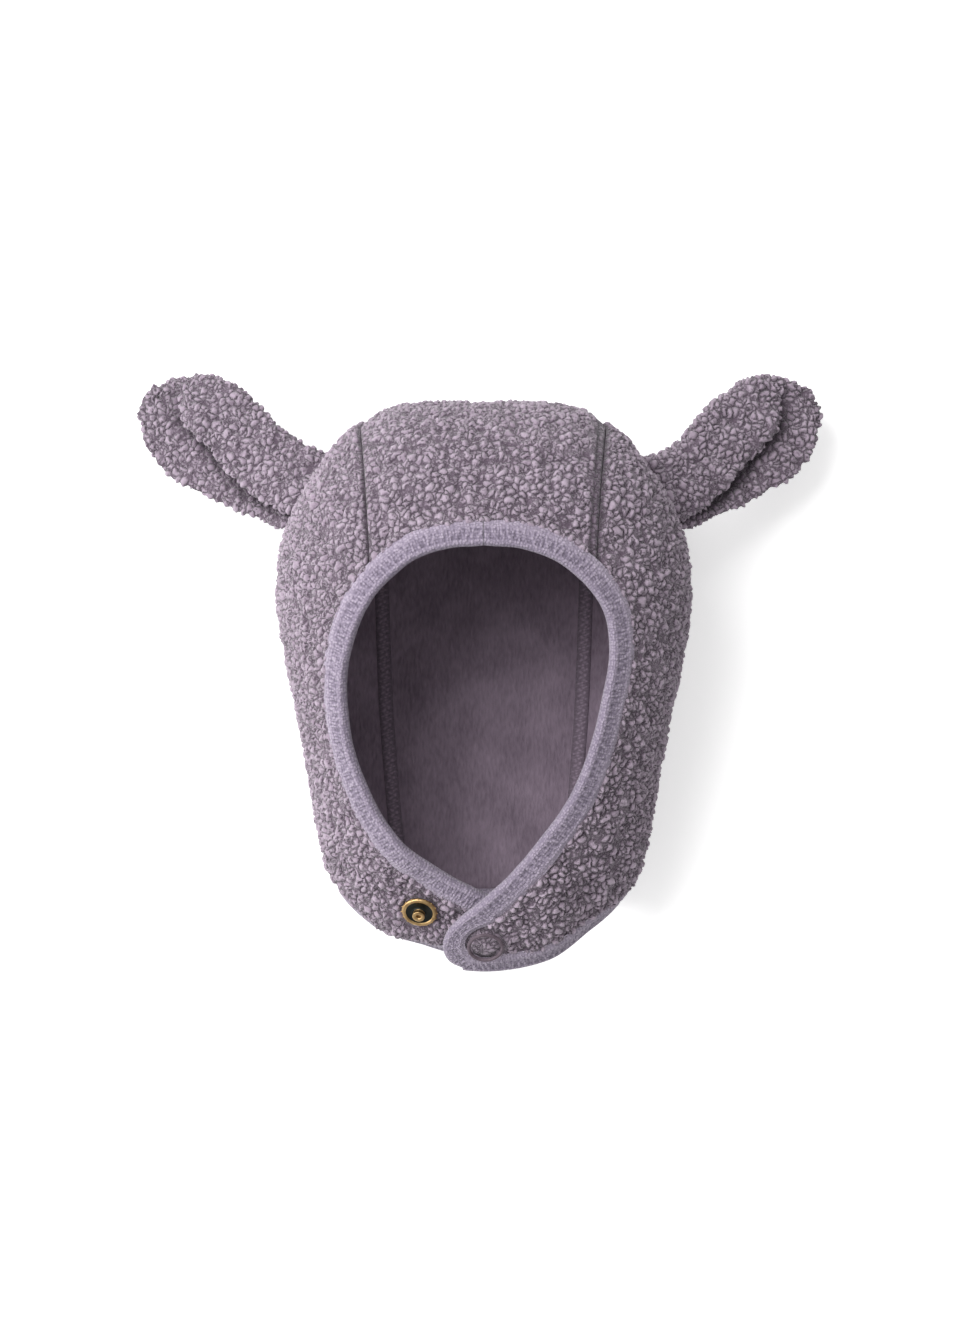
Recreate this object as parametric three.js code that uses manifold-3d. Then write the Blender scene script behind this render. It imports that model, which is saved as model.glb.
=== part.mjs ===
// A baby's hood hat with two folded ears, lying on its back with the face opening up.
// Millimetres, +Z up, +Y towards the crown, origin on the floor under the middle of the hat.
//
// The hat is three panels of thick pile fleece: a centre panel that runs from the forehead over the
// crown to the nape, and two side panels that end in chin tabs. One knitted binding is folded over the
// whole free edge. The right tab lies over the left one and is closed with a press stud.
import * as THREE from "three";
import { mergeVertices } from "three/addons/utils/BufferGeometryUtils.js";
import Module from "manifold-3d";

const wasm = await Module();
wasm.setup();

// ---------------------------------------------------------------- driving dimensions
const FLEECE = 2.6; // thickness of the panels
const SEAM_GAP = 0.4; // between the centre panel and a side panel
const GAP = 0.3; // between any other two pieces
const PLACE = { x: 1.8, y: -0.17 }; // of the hat's middle plane, because the left ear reaches further out
const ARCH_POWER = 5; // how late the crown's arch falls away towards the seams
const CHIN_HALF = 52; // half width at which a section's chinRise is reached

// The right tab lies lift above the common surface and the left tab lift below it. The lift grows
// from fromY to toY, and sideways from fromOut to toOut.
const TABS = { lift: 3.8, fromY: -70, toY: -90, fromOut: 46, toOut: 24 };
// From fromV on, the left hem bulges and then turns down. It does so between the side, from sideOut
// to fullOut, and the right tab, from fullTab to tabOut.
const ROLL = { fromV: 15.1, bulge: 3.6, down: 7, sideOut: 66, fullOut: 36, fullTab: 20, tabOut: 8 };
const BINDING = { width: 9.5, wall: 0.9, clearance: 0.6 };
const PRESS = 1.2; // depth over which the floor's flat turns into the back's curve

// Sections across the hat from the crown to the chin. y is where a section's front centre lies, half
// its half width, back, widest and front the heights of its back, its widest point and its front, nf
// and nb how square its front and back are, seam the half spacing of the seams, arch how far it falls
// back at the seams, lean how far it rises for each mm below the front, and chinRise how far it rises
// at CHIN_HALF from the middle. A back below 0 is pressed flat by the floor.
const SECTION_COLUMNS = [
  "y", "half", "back", "widest", "front", "nf", "nb", "seam", "arch", "lean", "chinRise",
];
const SECTIONS = [
  [112.5, 49.6, 52.0, 52.0, 52.0, 4.0, 4.0, 48.9, 8.0, 0.0, 0],
  [111.4, 52.3, 39.5, 52.0, 64.5, 3.9, 3.9, 49.4, 8.0, 0.0, 0],
  [107.6, 56.7, 27.5, 52.0, 78.0, 3.6, 3.7, 49.0, 7.8, 0.0, 0],
  [101.3, 61.6, 17.0, 51.5, 88.5, 3.3, 3.5, 48.4, 6.8, 0.0, 0],
  [92.5, 66.8, 8.0, 51.0, 97.0, 3.0, 3.3, 47.6, 5.3, 0.0, 0],
  [81.0, 73.5, 1.6, 50.5, 103.0, 2.8, 3.1, 46.7, 3.5, 0.0, 0],
  [67.0, 80.0, -1.6, 50.0, 107.5, 2.6, 3.0, 45.8, 1.8, 0.0, 0],
  [50.0, 85.0, -2.6, 49.0, 110.5, 2.4, 3.0, 44.8, 0.7, 0.0, 0],
  [30.0, 86.3, -2.6, 48.0, 112.0, 2.3, 3.0, 44.0, 0.0, 0.0, 0],
  [8.0, 83.3, -2.6, 46.5, 110.5, 2.2, 3.0, 43.3, 0.0, 0.0, 0],
  [-16.0, 78.5, -2.5, 44.0, 105.5, 2.2, 3.0, 42.4, 0.0, 0.0, 0],
  [-40.0, 74.3, -2.4, 41.0, 98.0, 2.2, 3.0, 41.1, 0.0, 0.05, 0],
  [-62.0, 71.4, -2.0, 38.0, 89.0, 2.2, 2.9, 39.8, 0.0, 0.1, 0.5],
  [-80.0, 69.2, -1.2, 35.5, 80.0, 2.2, 2.8, 38.8, 0.0, 0.17, 1.8],
  [-93.0, 67.6, -0.4, 33.5, 72.5, 2.2, 2.7, 37.8, 0.0, 0.24, 4],
  [-104.0, 65.6, 0.8, 32.0, 64.5, 2.2, 2.6, 37.1, 0.0, 0.31, 7],
  [-114.0, 62.4, 1.8, 31.0, 56.5, 2.2, 2.5, 36.4, 0.0, 0.37, 11.5],
  [-121.8, 57.2, 2.4, 30.0, 48.0, 2.2, 2.5, 35.8, 0.0, 0.42, 16],
];
const LAST = SECTIONS.length - 1;

// The free edge of each half of the hat, seen from the front: from the middle of the forehead round
// the face opening to the end of the chin tab. out is the distance from the middle, and past the
// middle it is negative.
const EDGE_COLUMNS = ["out", "y"];
const RIGHT_EDGE = [
  [0, 53.0], [15, 51.8], [28.8, 47.2], [39.4, 39.8], [46.0, 32.8], [51.0, 24.5], [53.4, 14], [53.2, 2],
  [50.8, -11], [47.4, -26], [42.2, -41.8], [34.6, -57], [23.4, -71.8], [12.0, -83.4], [-0.5, -94.9],
  [-8.5, -101.5], [-13.6, -107.1], [-15.3, -112.4], [-13.4, -117.2], [-8.0, -120.4],
];
const LEFT_EDGE = [
  [0, 53.0], [15, 51.8], [28.8, 47.2], [38.7, 39.8], [45.6, 32.8], [51.8, 22.5], [56.4, 10], [58.9, -3],
  [58.7, -16], [56.3, -32.4], [51.2, -46.8], [44.0, -61], [33.8, -74.3], [18.8, -86.8], [3.6, -94.9],
  [-8.3, -101.6], [-15.0, -108.0], [-16.8, -113.4], [-14.0, -118.2], [-8.0, -120.4],
];

// How many rows and columns the panels are made of.
const COUNTS = { faceRows: 24, seamRows: 7, overCrown: 10, backRows: 17, centreHalf: 4 };
// Columns of a side panel, as shares of the way from its free edge to the back seam.
const SIDE_SHARES = [0, 0.045, 0.1, 0.19, 0.28, 0.36, 0.43, 0.5, 0.58, 0.67, 0.78, 0.89, 1];
const SIDE_START = 0.3; // the station at which a side panel starts, beside the crown's end

// The ears. Each station from the root to the tip has the fold's and the free edge's places seen from
// the front, how far over it the upper flap reaches, and the height of its middle.
const EAR_COLUMNS = ["foldOut", "foldY", "freeOut", "freeY", "flap", "z"];
const LEFT_EAR = [
  [54, 84, 72, 58, 0.8, 52],
  [65, 91.5, 80, 61, 0.82, 50],
  [74, 95, 88, 62.5, 0.82, 47],
  [84.2, 101.6, 98.5, 67.4, 0.8, 42],
  [95.4, 112.4, 109.9, 72.4, 0.72, 37],
  [105, 120.6, 119.6, 77.4, 0.63, 33],
  [115, 125, 131, 83.6, 0.55, 30],
  [124.5, 126, 139.2, 90.8, 0.46, 27],
  [132.5, 125, 144.8, 99.8, 0.4, 25],
  [139, 121.5, 146.4, 107.6, 0.5, 23.5],
];
const RIGHT_EAR = [
  [54, 82, 72, 57, 0.84, 52],
  [66, 89, 79, 60, 0.88, 50],
  [74.5, 92, 87, 62, 0.88, 46],
  [83.4, 98.6, 97, 66.4, 0.84, 42],
  [92.4, 110, 107.6, 71.6, 0.76, 38],
  [101, 117.2, 117.6, 77.4, 0.68, 34],
  [110.6, 124, 128, 83, 0.6, 31],
  [120, 125.6, 136, 90, 0.5, 28],
  [128.8, 124.8, 141.4, 98.8, 0.42, 26],
  [135.6, 121, 142.8, 106.6, 0.5, 24.5],
];
const EAR = { fleece: 4.6, gap: 0.7, stations: 14 };
const ROOT_CLEARANCE = 1.008; // the body is grown by this before it is cut from an ear's root

// The press studs. out is the distance from the middle of the hat towards the named side, and lift how
// far the underside lies above the face of the cloth.
const OPEN_STUD = {
  side: -1, out: 27.7, y: -101.2, lift: 1.2, radius: 7.5, base: 1.1, rim: 1.7, dish: 5.6, post: 2.6, tall: 3.9,
};
const SHUT_STUD = { side: -1, out: 0.5, y: -110.4, radius: 5.8, thick: 1.2, lift: 1.85 };
const CAP_RING = { side: 1, out: 0.6, y: -110.8, outer: 7.8, inner: 6.2, thick: 1.3, lift: 2.0 };

// ---------------------------------------------------------------- tables and splines
const rowsOf = (columns, table) =>
  table.map((row) => Object.fromEntries(columns.map((name, k) => [name, row[k]])));

// The value at t between b and c of the smooth curve through a, b, c and d.
function spline(a, b, c, d, t) {
  const slopeB = (c - a) / 2;
  const slopeC = (d - b) / 2;
  const t2 = t * t;
  const t3 = t2 * t;
  return (2 * t3 - 3 * t2 + 1) * b + (t3 - 2 * t2 + t) * slopeB + (3 * t2 - 2 * t3) * c + (t3 - t2) * slopeC;
}

// The row at station v of a table, between beforeFirst and the last row carried on evenly.
function rowAt(columns, rows, beforeFirst, v) {
  const last = rows.length - 1;
  const k = Math.min(last - 1, Math.max(0, Math.floor(v)));
  const each = (valueOf) => Object.fromEntries(columns.map((name) => [name, valueOf(name)]));
  const carriedOn = (from, to) => each((name) => 2 * to[name] - from[name]);
  const before = rows[k - 1] ?? beforeFirst ?? carriedOn(rows[1], rows[0]);
  const after = rows[k + 2] ?? carriedOn(rows[last - 1], rows[last]);
  const four = [before, rows[k], rows[k + 1], after];
  return each((name) => spline(...four.map((row) => row[name]), v - k));
}

const smoothstep = (from, to, x) => {
  const t = Math.min(1, Math.max(0, (x - from) / (to - from)));
  return t * t * (3 - 2 * t);
};
const mix = (a, b, t) => a + (b - a) * t;
const evenly = (from, to, count) => Array.from({ length: count + 1 }, (_, k) => mix(from, to, k / count));

// The x from low to high at which isBefore turns from true to false.
function bisect(low, high, isBefore) {
  for (let k = 0; k < 44; k++) {
    const x = (low + high) / 2;
    if (isBefore(x)) low = x;
    else high = x;
  }
  return (low + high) / 2;
}

// ---------------------------------------------------------------- the hat's outer surface
const sections = rowsOf(SECTION_COLUMNS, SECTIONS);
// Over the crown the front turns into the back, so the row before the first is the second turned round.
const turnedRound = { ...sections[1], back: sections[1].front, front: sections[1].back };
const sectionAt = (v) => rowAt(SECTION_COLUMNS, sections, turnedRound, v);

// side is 1 for the right half and -1 for the left. turn runs round a section, from 0 at the front
// centre over PI/2 at the side to PI at the back centre, and is negative past the front centre.
function onForm(side, turn, v) {
  const s = sectionAt(v);
  const isFront = Math.cos(turn) >= 0;
  const power = 2 / (isFront ? s.nf : s.nb);
  const out = s.half * Math.sign(Math.sin(turn)) * Math.abs(Math.sin(turn)) ** power;
  const rise = Math.abs(Math.cos(turn)) ** power;
  const z = isFront ? mix(s.widest, s.front, rise) : mix(s.widest, s.back, rise);
  const arch = s.arch * Math.min(1, Math.abs(out) / s.seam) ** ARCH_POWER;
  const y = s.y - arch + s.lean * (s.front - z) + s.chinRise * (out / CHIN_HALF) ** 2;
  return new THREE.Vector3(side * out, y, pressedFlat(z));
}

// Heights below the floor are pressed up to it, with a smooth turn.
function pressedFlat(z) {
  if (z > PRESS) return z;
  return z < -PRESS ? 0 : (z + PRESS) ** 2 / (4 * PRESS);
}

const STEP = 1e-3; // of turn and of station, for slopes
function slopesOf(surface, side, turn, v) {
  const v0 = Math.max(0, v - STEP);
  const v1 = Math.min(LAST, v + STEP);
  const alongTurn = surface(side, turn + STEP, v).sub(surface(side, turn - STEP, v)).divideScalar(2 * STEP);
  const alongV = surface(side, turn, v1).sub(surface(side, turn, v0)).divideScalar(v1 - v0);
  const normal = new THREE.Vector3().crossVectors(alongV, alongTurn).multiplyScalar(side).normalize();
  return { alongTurn, alongV, normal };
}

// The outer face of the cloth: the form, with the right tab lifted off the left one.
function onHat(side, turn, v) {
  const point = onForm(side, turn, v);
  if (Math.cos(turn) < 0) return point;
  const out = side * point.x;
  const lifted = smoothstep(TABS.fromY, TABS.toY, point.y) * smoothstep(TABS.fromOut, TABS.toOut, out);
  if (lifted > 0) point.addScaledVector(slopesOf(onForm, side, turn, v).normal, TABS.lift * side * lifted);
  if (side < 0 && v > ROLL.fromV) {
    const t = (v - ROLL.fromV) / (LAST - ROLL.fromV);
    const rolled = smoothstep(ROLL.sideOut, ROLL.fullOut, out) * smoothstep(ROLL.tabOut, ROLL.fullTab, out);
    point.y -= ROLL.bulge * Math.sin(Math.PI * t) ** 2 * rolled;
    point.z -= ROLL.down * t ** 2 * rolled;
  }
  return point;
}

// The turn at which a section's front, or its back, is out mm from the middle.
const frontTurn = (s, out) => Math.sign(out) * Math.asin(Math.min(1, Math.abs(out) / s.half) ** (s.nf / 2));
const backTurn = (s, out) => Math.PI - Math.asin(Math.min(1, Math.abs(out) / s.half) ** (s.nb / 2));

// The place on the front of one half that is out mm from the middle at height y.
function frontPlace(side, out, y) {
  const v = bisect(0, LAST, (x) => onForm(side, frontTurn(sectionAt(x), out), x).y > y);
  return { v, turn: frontTurn(sectionAt(v), out) };
}

// Turns between two turns of one section, at shares of the way along the cloth.
function spacedTurns(side, v, from, to, shares) {
  const fine = evenly(from, to, 160);
  const points = fine.map((turn) => onForm(side, turn, v));
  const lengths = [0];
  for (let k = 1; k < fine.length; k++) lengths.push(lengths[k - 1] + points[k].distanceTo(points[k - 1]));
  return shares.map((share) => {
    if (share === 0) return from;
    if (share === 1) return to;
    const want = share * lengths.at(-1);
    const j = lengths.findIndex((have) => have >= want);
    return mix(fine[j - 1], fine[j], (want - lengths[j - 1]) / (lengths[j] - lengths[j - 1]));
  });
}

// ---------------------------------------------------------------- the free edge and the panels
const centreOut = (v) => sectionAt(v).seam - SEAM_GAP / 2;
const sideOut = (v) => sectionAt(v).seam + SEAM_GAP / 2;

// The places of one half: of its forehead edge, of its side panel and of its half of the nape.
function placesOf(side) {
  const table = side > 0 ? RIGHT_EDGE : LEFT_EDGE;
  const points = rowsOf(EDGE_COLUMNS, table).map((p) => new THREE.Vector3(p.out, p.y, 0));
  const curve = new THREE.CatmullRomCurve3(points, false, "centripetal");
  curve.arcLengthDivisions = 800;
  const placeAt = (t) => {
    const p = curve.getPointAt(t);
    return { out: p.x, ...frontPlace(side, p.x, p.y) };
  };
  const atShare = (share) =>
    bisect(0, 0.4, (t) => {
      const place = placeAt(t);
      return place.out < share * centreOut(place.v);
    });
  const forehead = evenly(0, 1, COUNTS.centreHalf).map((share) => placeAt(share === 0 ? 0 : atShare(share)));
  const corner = bisect(0, 0.4, (t) => {
    const place = placeAt(t);
    return place.out < sideOut(place.v);
  });
  const face = evenly(corner, 1, COUNTS.faceRows).map(placeAt);
  face.at(-1).v = LAST;
  const seam = evenly(SIDE_START, face[0].v, COUNTS.seamRows)
    .slice(0, -1)
    .map((v) => ({ v, turn: frontTurn(sectionAt(v), sideOut(v)) }));
  const panel = [...seam, ...face].map(({ v, turn }) => {
    const end = backTurn(sectionAt(v), sideOut(v));
    return spacedTurns(side, v, turn, end, SIDE_SHARES).map((t) => ({ v, turn: t }));
  });
  const nape = evenly(1, 0, COUNTS.centreHalf).map((share) => ({
    v: LAST,
    turn: backTurn(sectionAt(LAST), share * centreOut(LAST)),
  }));
  return { forehead, face, panel, nape };
}

const halves = new Map([1, -1].map((side) => [side, placesOf(side)]));

const onFace = (side, depth) => ({ turn, v }) =>
  onHat(side, turn, v).addScaledVector(slopesOf(onHat, side, turn, v).normal, -depth);

function sidePanel(side) {
  const { panel } = halves.get(side);
  const face = (depth) => panel.map((row) => row.map(onFace(side, depth)));
  return wallBetween(face(0), face(FLEECE));
}

// Columns run from the left seam to the right one, and rows from the forehead over the crown.
function centrePanel() {
  const columns = evenly(-1, 1, 2 * COUNTS.centreHalf).map((share, i) => {
    const side = share < 0 ? -1 : 1;
    const start = halves.get(side).forehead[Math.abs(i - COUNTS.centreHalf)];
    const front = evenly(start.v, 0, COUNTS.overCrown).map((v) => ({
      v,
      turn: frontTurn(sectionAt(v), Math.abs(share) * centreOut(v)),
    }));
    const back = evenly(0, LAST, COUNTS.backRows)
      .slice(1)
      .map((v) => ({ v, turn: backTurn(sectionAt(v), Math.abs(share) * centreOut(v)) }));
    return { side, places: [...front, ...back] };
  });
  const rows = columns[0].places.map((_, j) => columns.map(({ side, places }) => ({ side, place: places[j] })));
  const face = (depth) => rows.map((row) => row.map(({ side, place }) => onFace(side, depth)(place)));
  return wallBetween(face(0), face(FLEECE));
}

// ---------------------------------------------------------------- closed solids
function geometryFrom(positions, triangles) {
  return new THREE.BufferGeometry()
    .setAttribute("position", new THREE.Float32BufferAttribute(positions.flatMap((p) => p.toArray()), 3))
    .setIndex(triangles.flat());
}

// A solid with its faces outwards, whichever way round the triangles are.
function solidOf(geometry) {
  const bare = new THREE.BufferGeometry().setAttribute("position", geometry.getAttribute("position"));
  bare.setIndex(geometry.index);
  const merged = mergeVertices(bare, 1e-4);
  const ids = merged.index.array;
  const point = (k) => new THREE.Vector3().fromBufferAttribute(merged.attributes.position, ids[k]);
  const kept = [];
  let sixVolumes = 0;
  for (let k = 0; k < ids.length; k += 3) {
    const [a, b, c] = [ids[k], ids[k + 1], ids[k + 2]];
    if (a === b || b === c || c === a) continue;
    kept.push([a, b, c]);
    sixVolumes += point(k).dot(point(k + 1).cross(point(k + 2)));
  }
  const triVerts = new Uint32Array(kept.flatMap(([a, b, c]) => (sixVolumes > 0 ? [a, b, c] : [a, c, b])));
  return new wasm.Manifold(
    new wasm.Mesh({ numProp: 3, vertProperties: merged.attributes.position.array, triVerts }),
  );
}

function geometryOf(solid) {
  const mesh = solid.getMesh();
  const points = [];
  for (let k = 0; k < mesh.numVert; k++)
    points.push(new THREE.Vector3().fromArray(mesh.vertProperties, k * mesh.numProp));
  return geometryFrom(points, [Array.from(mesh.triVerts)]).toNonIndexed();
}

// The closed wall between two grids of points with the same rows and columns.
function wallBetween(outer, inner) {
  const rows = outer.length;
  const columns = outer[0].length;
  const id = (layer, j, i) => (layer * rows + j) * columns + i;
  const triangles = [];
  const quad = (a, b, c, d) => triangles.push([a, b, c], [a, c, d]);
  for (let j = 0; j + 1 < rows; j++)
    for (let i = 0; i + 1 < columns; i++) {
      quad(id(0, j, i), id(0, j, i + 1), id(0, j + 1, i + 1), id(0, j + 1, i));
      quad(id(1, j, i), id(1, j + 1, i), id(1, j + 1, i + 1), id(1, j, i + 1));
    }
  for (let i = 0; i + 1 < columns; i++) {
    quad(id(0, 0, i + 1), id(0, 0, i), id(1, 0, i), id(1, 0, i + 1));
    quad(id(0, rows - 1, i), id(0, rows - 1, i + 1), id(1, rows - 1, i + 1), id(1, rows - 1, i));
  }
  for (let j = 0; j + 1 < rows; j++) {
    quad(id(0, j, 0), id(0, j + 1, 0), id(1, j + 1, 0), id(1, j, 0));
    quad(id(0, j + 1, columns - 1), id(0, j, columns - 1), id(1, j, columns - 1), id(1, j + 1, columns - 1));
  }
  return solidOf(geometryFrom([...outer.flat(), ...inner.flat()], triangles));
}

// A solid through rings of points. A closed one joins its last ring to its first, and an open one is
// capped with the triangles of its flat section.
function throughRings(rings, caps) {
  const n = rings[0].length;
  const last = (rings.length - 1) * n;
  const triangles = [];
  rings.forEach((_, k) => {
    if (caps && k === rings.length - 1) return;
    const a = k * n;
    const b = ((k + 1) % rings.length) * n;
    for (let i = 0; i < n; i++) {
      const j = (i + 1) % n;
      triangles.push([a + i, a + j, b + j], [a + i, b + j, b + i]);
    }
  });
  (caps ?? []).forEach((triangle) => {
    const [p, q, r] = [...triangle].sort((a, b) => a - b);
    triangles.push([p, r, q], [last + p, last + q, last + r]);
  });
  return solidOf(geometryFrom(rings.flat(), triangles));
}

// ---------------------------------------------------------------- the binding
// Its section from the free edge: how far into the cloth, and how far above the cloth's outer face.
// A grown one is that much larger all round, to cut away what would touch it.
function bindingSection(grown) {
  const width = BINDING.width + grown;
  const wall = BINDING.wall + 2 * grown;
  const clearance = BINDING.clearance - grown;
  const top = clearance + wall;
  const foot = -FLEECE - top;
  const middle = -FLEECE / 2;
  return [
    [width, top], [width / 2, top], [0, top], [-top * 0.8, 0.2 * top], [-top, middle],
    [-top * 0.8, foot + top * 0.8], [0, foot], [width / 2, foot], [width, foot], [width, foot + wall],
    [width / 2, foot + wall], [-clearance, foot + wall], [-clearance, clearance], [width / 2, clearance],
    [width, clearance],
  ];
}

// The binding's ring of points at one place of the free edge, whose neighbours are before and after.
function bindingRing(side, { turn, v }, before, after, grown) {
  const along = after.clone().sub(before).normalize();
  const { alongTurn, alongV, normal } = slopesOf(onHat, side, turn, v);
  const inward = new THREE.Vector3().crossVectors(normal, along).multiplyScalar(side).normalize();
  // The same direction in turn and station.
  const uu = alongTurn.dot(alongTurn);
  const uv = alongTurn.dot(alongV);
  const vv = alongV.dot(alongV);
  const iu = inward.dot(alongTurn);
  const iv = inward.dot(alongV);
  const det = uu * vv - uv * uv;
  const turnStep = (iu * vv - iv * uv) / det;
  const vStep = (iv * uu - iu * uv) / det;
  return bindingSection(grown).map(([into, above]) => {
    const a = Math.max(0, into);
    const place = { turn: turn + a * turnStep, v: Math.min(LAST, v + a * vStep) };
    const point = onHat(side, place.turn, place.v);
    const slopes = slopesOf(onHat, side, place.turn, place.v);
    return point.addScaledVector(slopes.normal, above).addScaledVector(inward, Math.min(0, into));
  });
}

function binding(grown) {
  const half = (side) => {
    const { forehead, face, panel, nape } = halves.get(side);
    const places = [...forehead.slice(0, -1), ...face, ...panel.at(-1).slice(1), ...nape.slice(1)];
    return places.map((place) => ({ side, place }));
  };
  const left = half(-1).slice(1, -1).reverse();
  const loop = [...half(1), ...left];
  const points = loop.map(({ side, place }) => onHat(side, place.turn, place.v));
  const rings = loop.map(({ side, place }, k) => {
    const before = points[(k + points.length - 1) % points.length];
    const after = points[(k + 1) % points.length];
    const [first, second] = side > 0 ? [before, after] : [after, before];
    return bindingRing(side, place, first, second, grown);
  });
  return throughRings(rings);
}

// ---------------------------------------------------------------- the ears
// A folded section: along is how far from the fold towards the free edge, and up from its middle.
function earSection(width, flapWidth) {
  const { fleece: t, gap } = EAR;
  const r = t + gap / 2;
  const g = gap / 2;
  const flap = Math.max(r + 2.6, flapWidth);
  const lower = Math.max(flap + 1, width);
  return [
    [r, -r], [0.3 * r, -0.72 * r], [0, 0], [0.3 * r, 0.72 * r], [r, r], [0.5 * (r + flap - 2), r * 1.12],
    [flap - 2, r], [flap, r - t / 2], [flap - 2, g], [r, g], [r - g, 0], [r, -g], [lower - 2, -g],
    [lower, -r + t / 2], [lower - 2, -r], [0.5 * (r + lower - 2), -r],
  ];
}

function ear(side, table) {
  const rows = rowsOf(EAR_COLUMNS, table);
  const rings = evenly(0, rows.length - 1, EAR.stations).map((k) => {
    const row = rowAt(EAR_COLUMNS, rows, undefined, k);
    const fold = new THREE.Vector3(side * row.foldOut, row.foldY, row.z);
    const towards = new THREE.Vector3(side * row.freeOut, row.freeY, row.z).sub(fold);
    const width = towards.length();
    towards.normalize();
    return earSection(width, row.flap * width).map(([along, up]) =>
      fold.clone().addScaledVector(towards, along).add(new THREE.Vector3(0, 0, up)),
    );
  });
  const flat = earSection(30, 20).map(([along, up]) => new THREE.Vector2(along, up));
  const caps = THREE.ShapeUtils.triangulateShape(flat, []);
  return throughRings(rings, caps).subtract(grownBody());
}

// The crown end of the hat as one closed solid, grown so that a gap is left round it.
function grownBody() {
  const rings = evenly(0.6, 9, 16).map((v) => {
    const right = spacedTurns(1, v, 0, Math.PI, evenly(0, 1, 24));
    return [
      ...right.map((turn) => onForm(1, turn, v)),
      ...right.slice(1, -1).reverse().map((turn) => onForm(-1, turn, v)),
    ];
  });
  const fan = rings[0].slice(2).map((_, k) => [0, k + 1, k + 2]);
  const body = throughRings(rings, fan);
  const middle = [0, 60, 50];
  const grown = (x) => x * (1 - ROOT_CLEARANCE);
  return body.scale(ROOT_CLEARANCE).translate(...middle.map(grown));
}

// ---------------------------------------------------------------- the press studs
const latheOf = (profile, segments) =>
  new THREE.LatheGeometry(profile.map(([r, z]) => new THREE.Vector2(r, z)), segments);

// A turned solid set on the outer face of the cloth, lift above it.
function onCloth({ side, out, y, lift }, profile, segments) {
  const { v, turn } = frontPlace(side, out, y);
  const { normal } = slopesOf(onHat, side, turn, v);
  const place = onHat(side, turn, v).addScaledVector(normal, lift);
  const geometry = latheOf(profile, segments);
  geometry.applyQuaternion(new THREE.Quaternion().setFromUnitVectors(new THREE.Vector3(0, 1, 0), normal));
  geometry.translate(...place.toArray());
  return solidOf(geometry);
}

function openStud() {
  const { radius, base, rim, dish, post, tall } = OPEN_STUD;
  const profile = [
    [0, 0], [radius - 0.3, 0], [radius, 0.4], [radius, rim - 0.6], [radius - 0.7, rim], [dish + 0.5, rim],
    [dish, base], [post + 0.5, base], [post - 0.2, base + 0.5], [post - 0.2, tall - 1.5], [post, tall - 1.1],
    [post, tall - 0.4], [post - 0.5, tall], [1.0, tall], [0.8, tall - 1.6], [0, tall - 1.6],
  ];
  return onCloth(OPEN_STUD, profile, 16);
}

function shutStud() {
  const { radius, thick } = SHUT_STUD;
  return onCloth(SHUT_STUD, [[0, 0], [radius, 0], [radius, thick], [0, thick]], 20);
}

function capRing() {
  const { outer, inner, thick } = CAP_RING;
  const profile = [
    [inner, 0], [outer - 0.2, 0], [outer, 0.3], [outer - 0.3, thick - 0.3], [outer - 0.7, thick],
    [inner + 0.4, thick], [inner, thick - 0.4], [inner, 0],
  ];
  return onCloth(CAP_RING, profile, 20);
}

// ---------------------------------------------------------------- the finished hat
const hat = new THREE.Group();
hat.name = "baby_hat_with_ears";
hat.position.set(PLACE.x, PLACE.y, 0);

function piece(name, solid, color, roughness, metalness) {
  const mesh = new THREE.Mesh(
    geometryOf(solid),
    new THREE.MeshStandardMaterial({ color, roughness, metalness, name: `${name}_material` }),
  );
  mesh.name = name;
  mesh.geometry.computeVertexNormals();
  hat.add(mesh);
}

const aroundBinding = binding(GAP);
piece("panel_centre", centrePanel().subtract(aroundBinding), 0x968799, 0.95, 0);
piece("panel_left", sidePanel(-1).subtract(aroundBinding), 0x968799, 0.95, 0);
piece("panel_right", sidePanel(1).subtract(aroundBinding), 0x968799, 0.95, 0);
piece("ear_left", ear(-1, LEFT_EAR), 0x968799, 0.95, 0);
piece("ear_right", ear(1, RIGHT_EAR), 0x968799, 0.95, 0);
piece("binding", binding(0), 0x8f82a0, 0.9, 0);
piece("stud_open", openStud(), 0x7d6a4c, 0.35, 1);
piece("stud_shut", shutStud(), 0x7d6a4c, 0.35, 1);
piece("cap_ring", capRing(), 0x8a7a92, 0.5, 0);

export default hat;
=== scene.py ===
"""The looks of a baby's hood hat with ears: curly pile panels, a knitted binding and press studs."""

import math

import bpy
import numpy as np
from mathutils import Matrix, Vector, bvhtree, kdtree


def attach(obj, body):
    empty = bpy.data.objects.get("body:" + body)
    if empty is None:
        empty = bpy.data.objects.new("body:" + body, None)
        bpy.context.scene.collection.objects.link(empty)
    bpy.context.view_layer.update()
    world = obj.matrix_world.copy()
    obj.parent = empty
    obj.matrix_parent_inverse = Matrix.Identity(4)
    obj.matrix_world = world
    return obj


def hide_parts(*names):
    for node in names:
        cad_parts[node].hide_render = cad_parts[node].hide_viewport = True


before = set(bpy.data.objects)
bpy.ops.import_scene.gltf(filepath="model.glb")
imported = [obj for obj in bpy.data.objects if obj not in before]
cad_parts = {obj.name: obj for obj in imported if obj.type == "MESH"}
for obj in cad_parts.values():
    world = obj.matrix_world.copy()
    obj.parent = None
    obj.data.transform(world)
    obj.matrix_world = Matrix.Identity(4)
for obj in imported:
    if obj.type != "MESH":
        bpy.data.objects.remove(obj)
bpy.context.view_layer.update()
bpy.ops.object.select_all(action="DESELECT")

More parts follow.
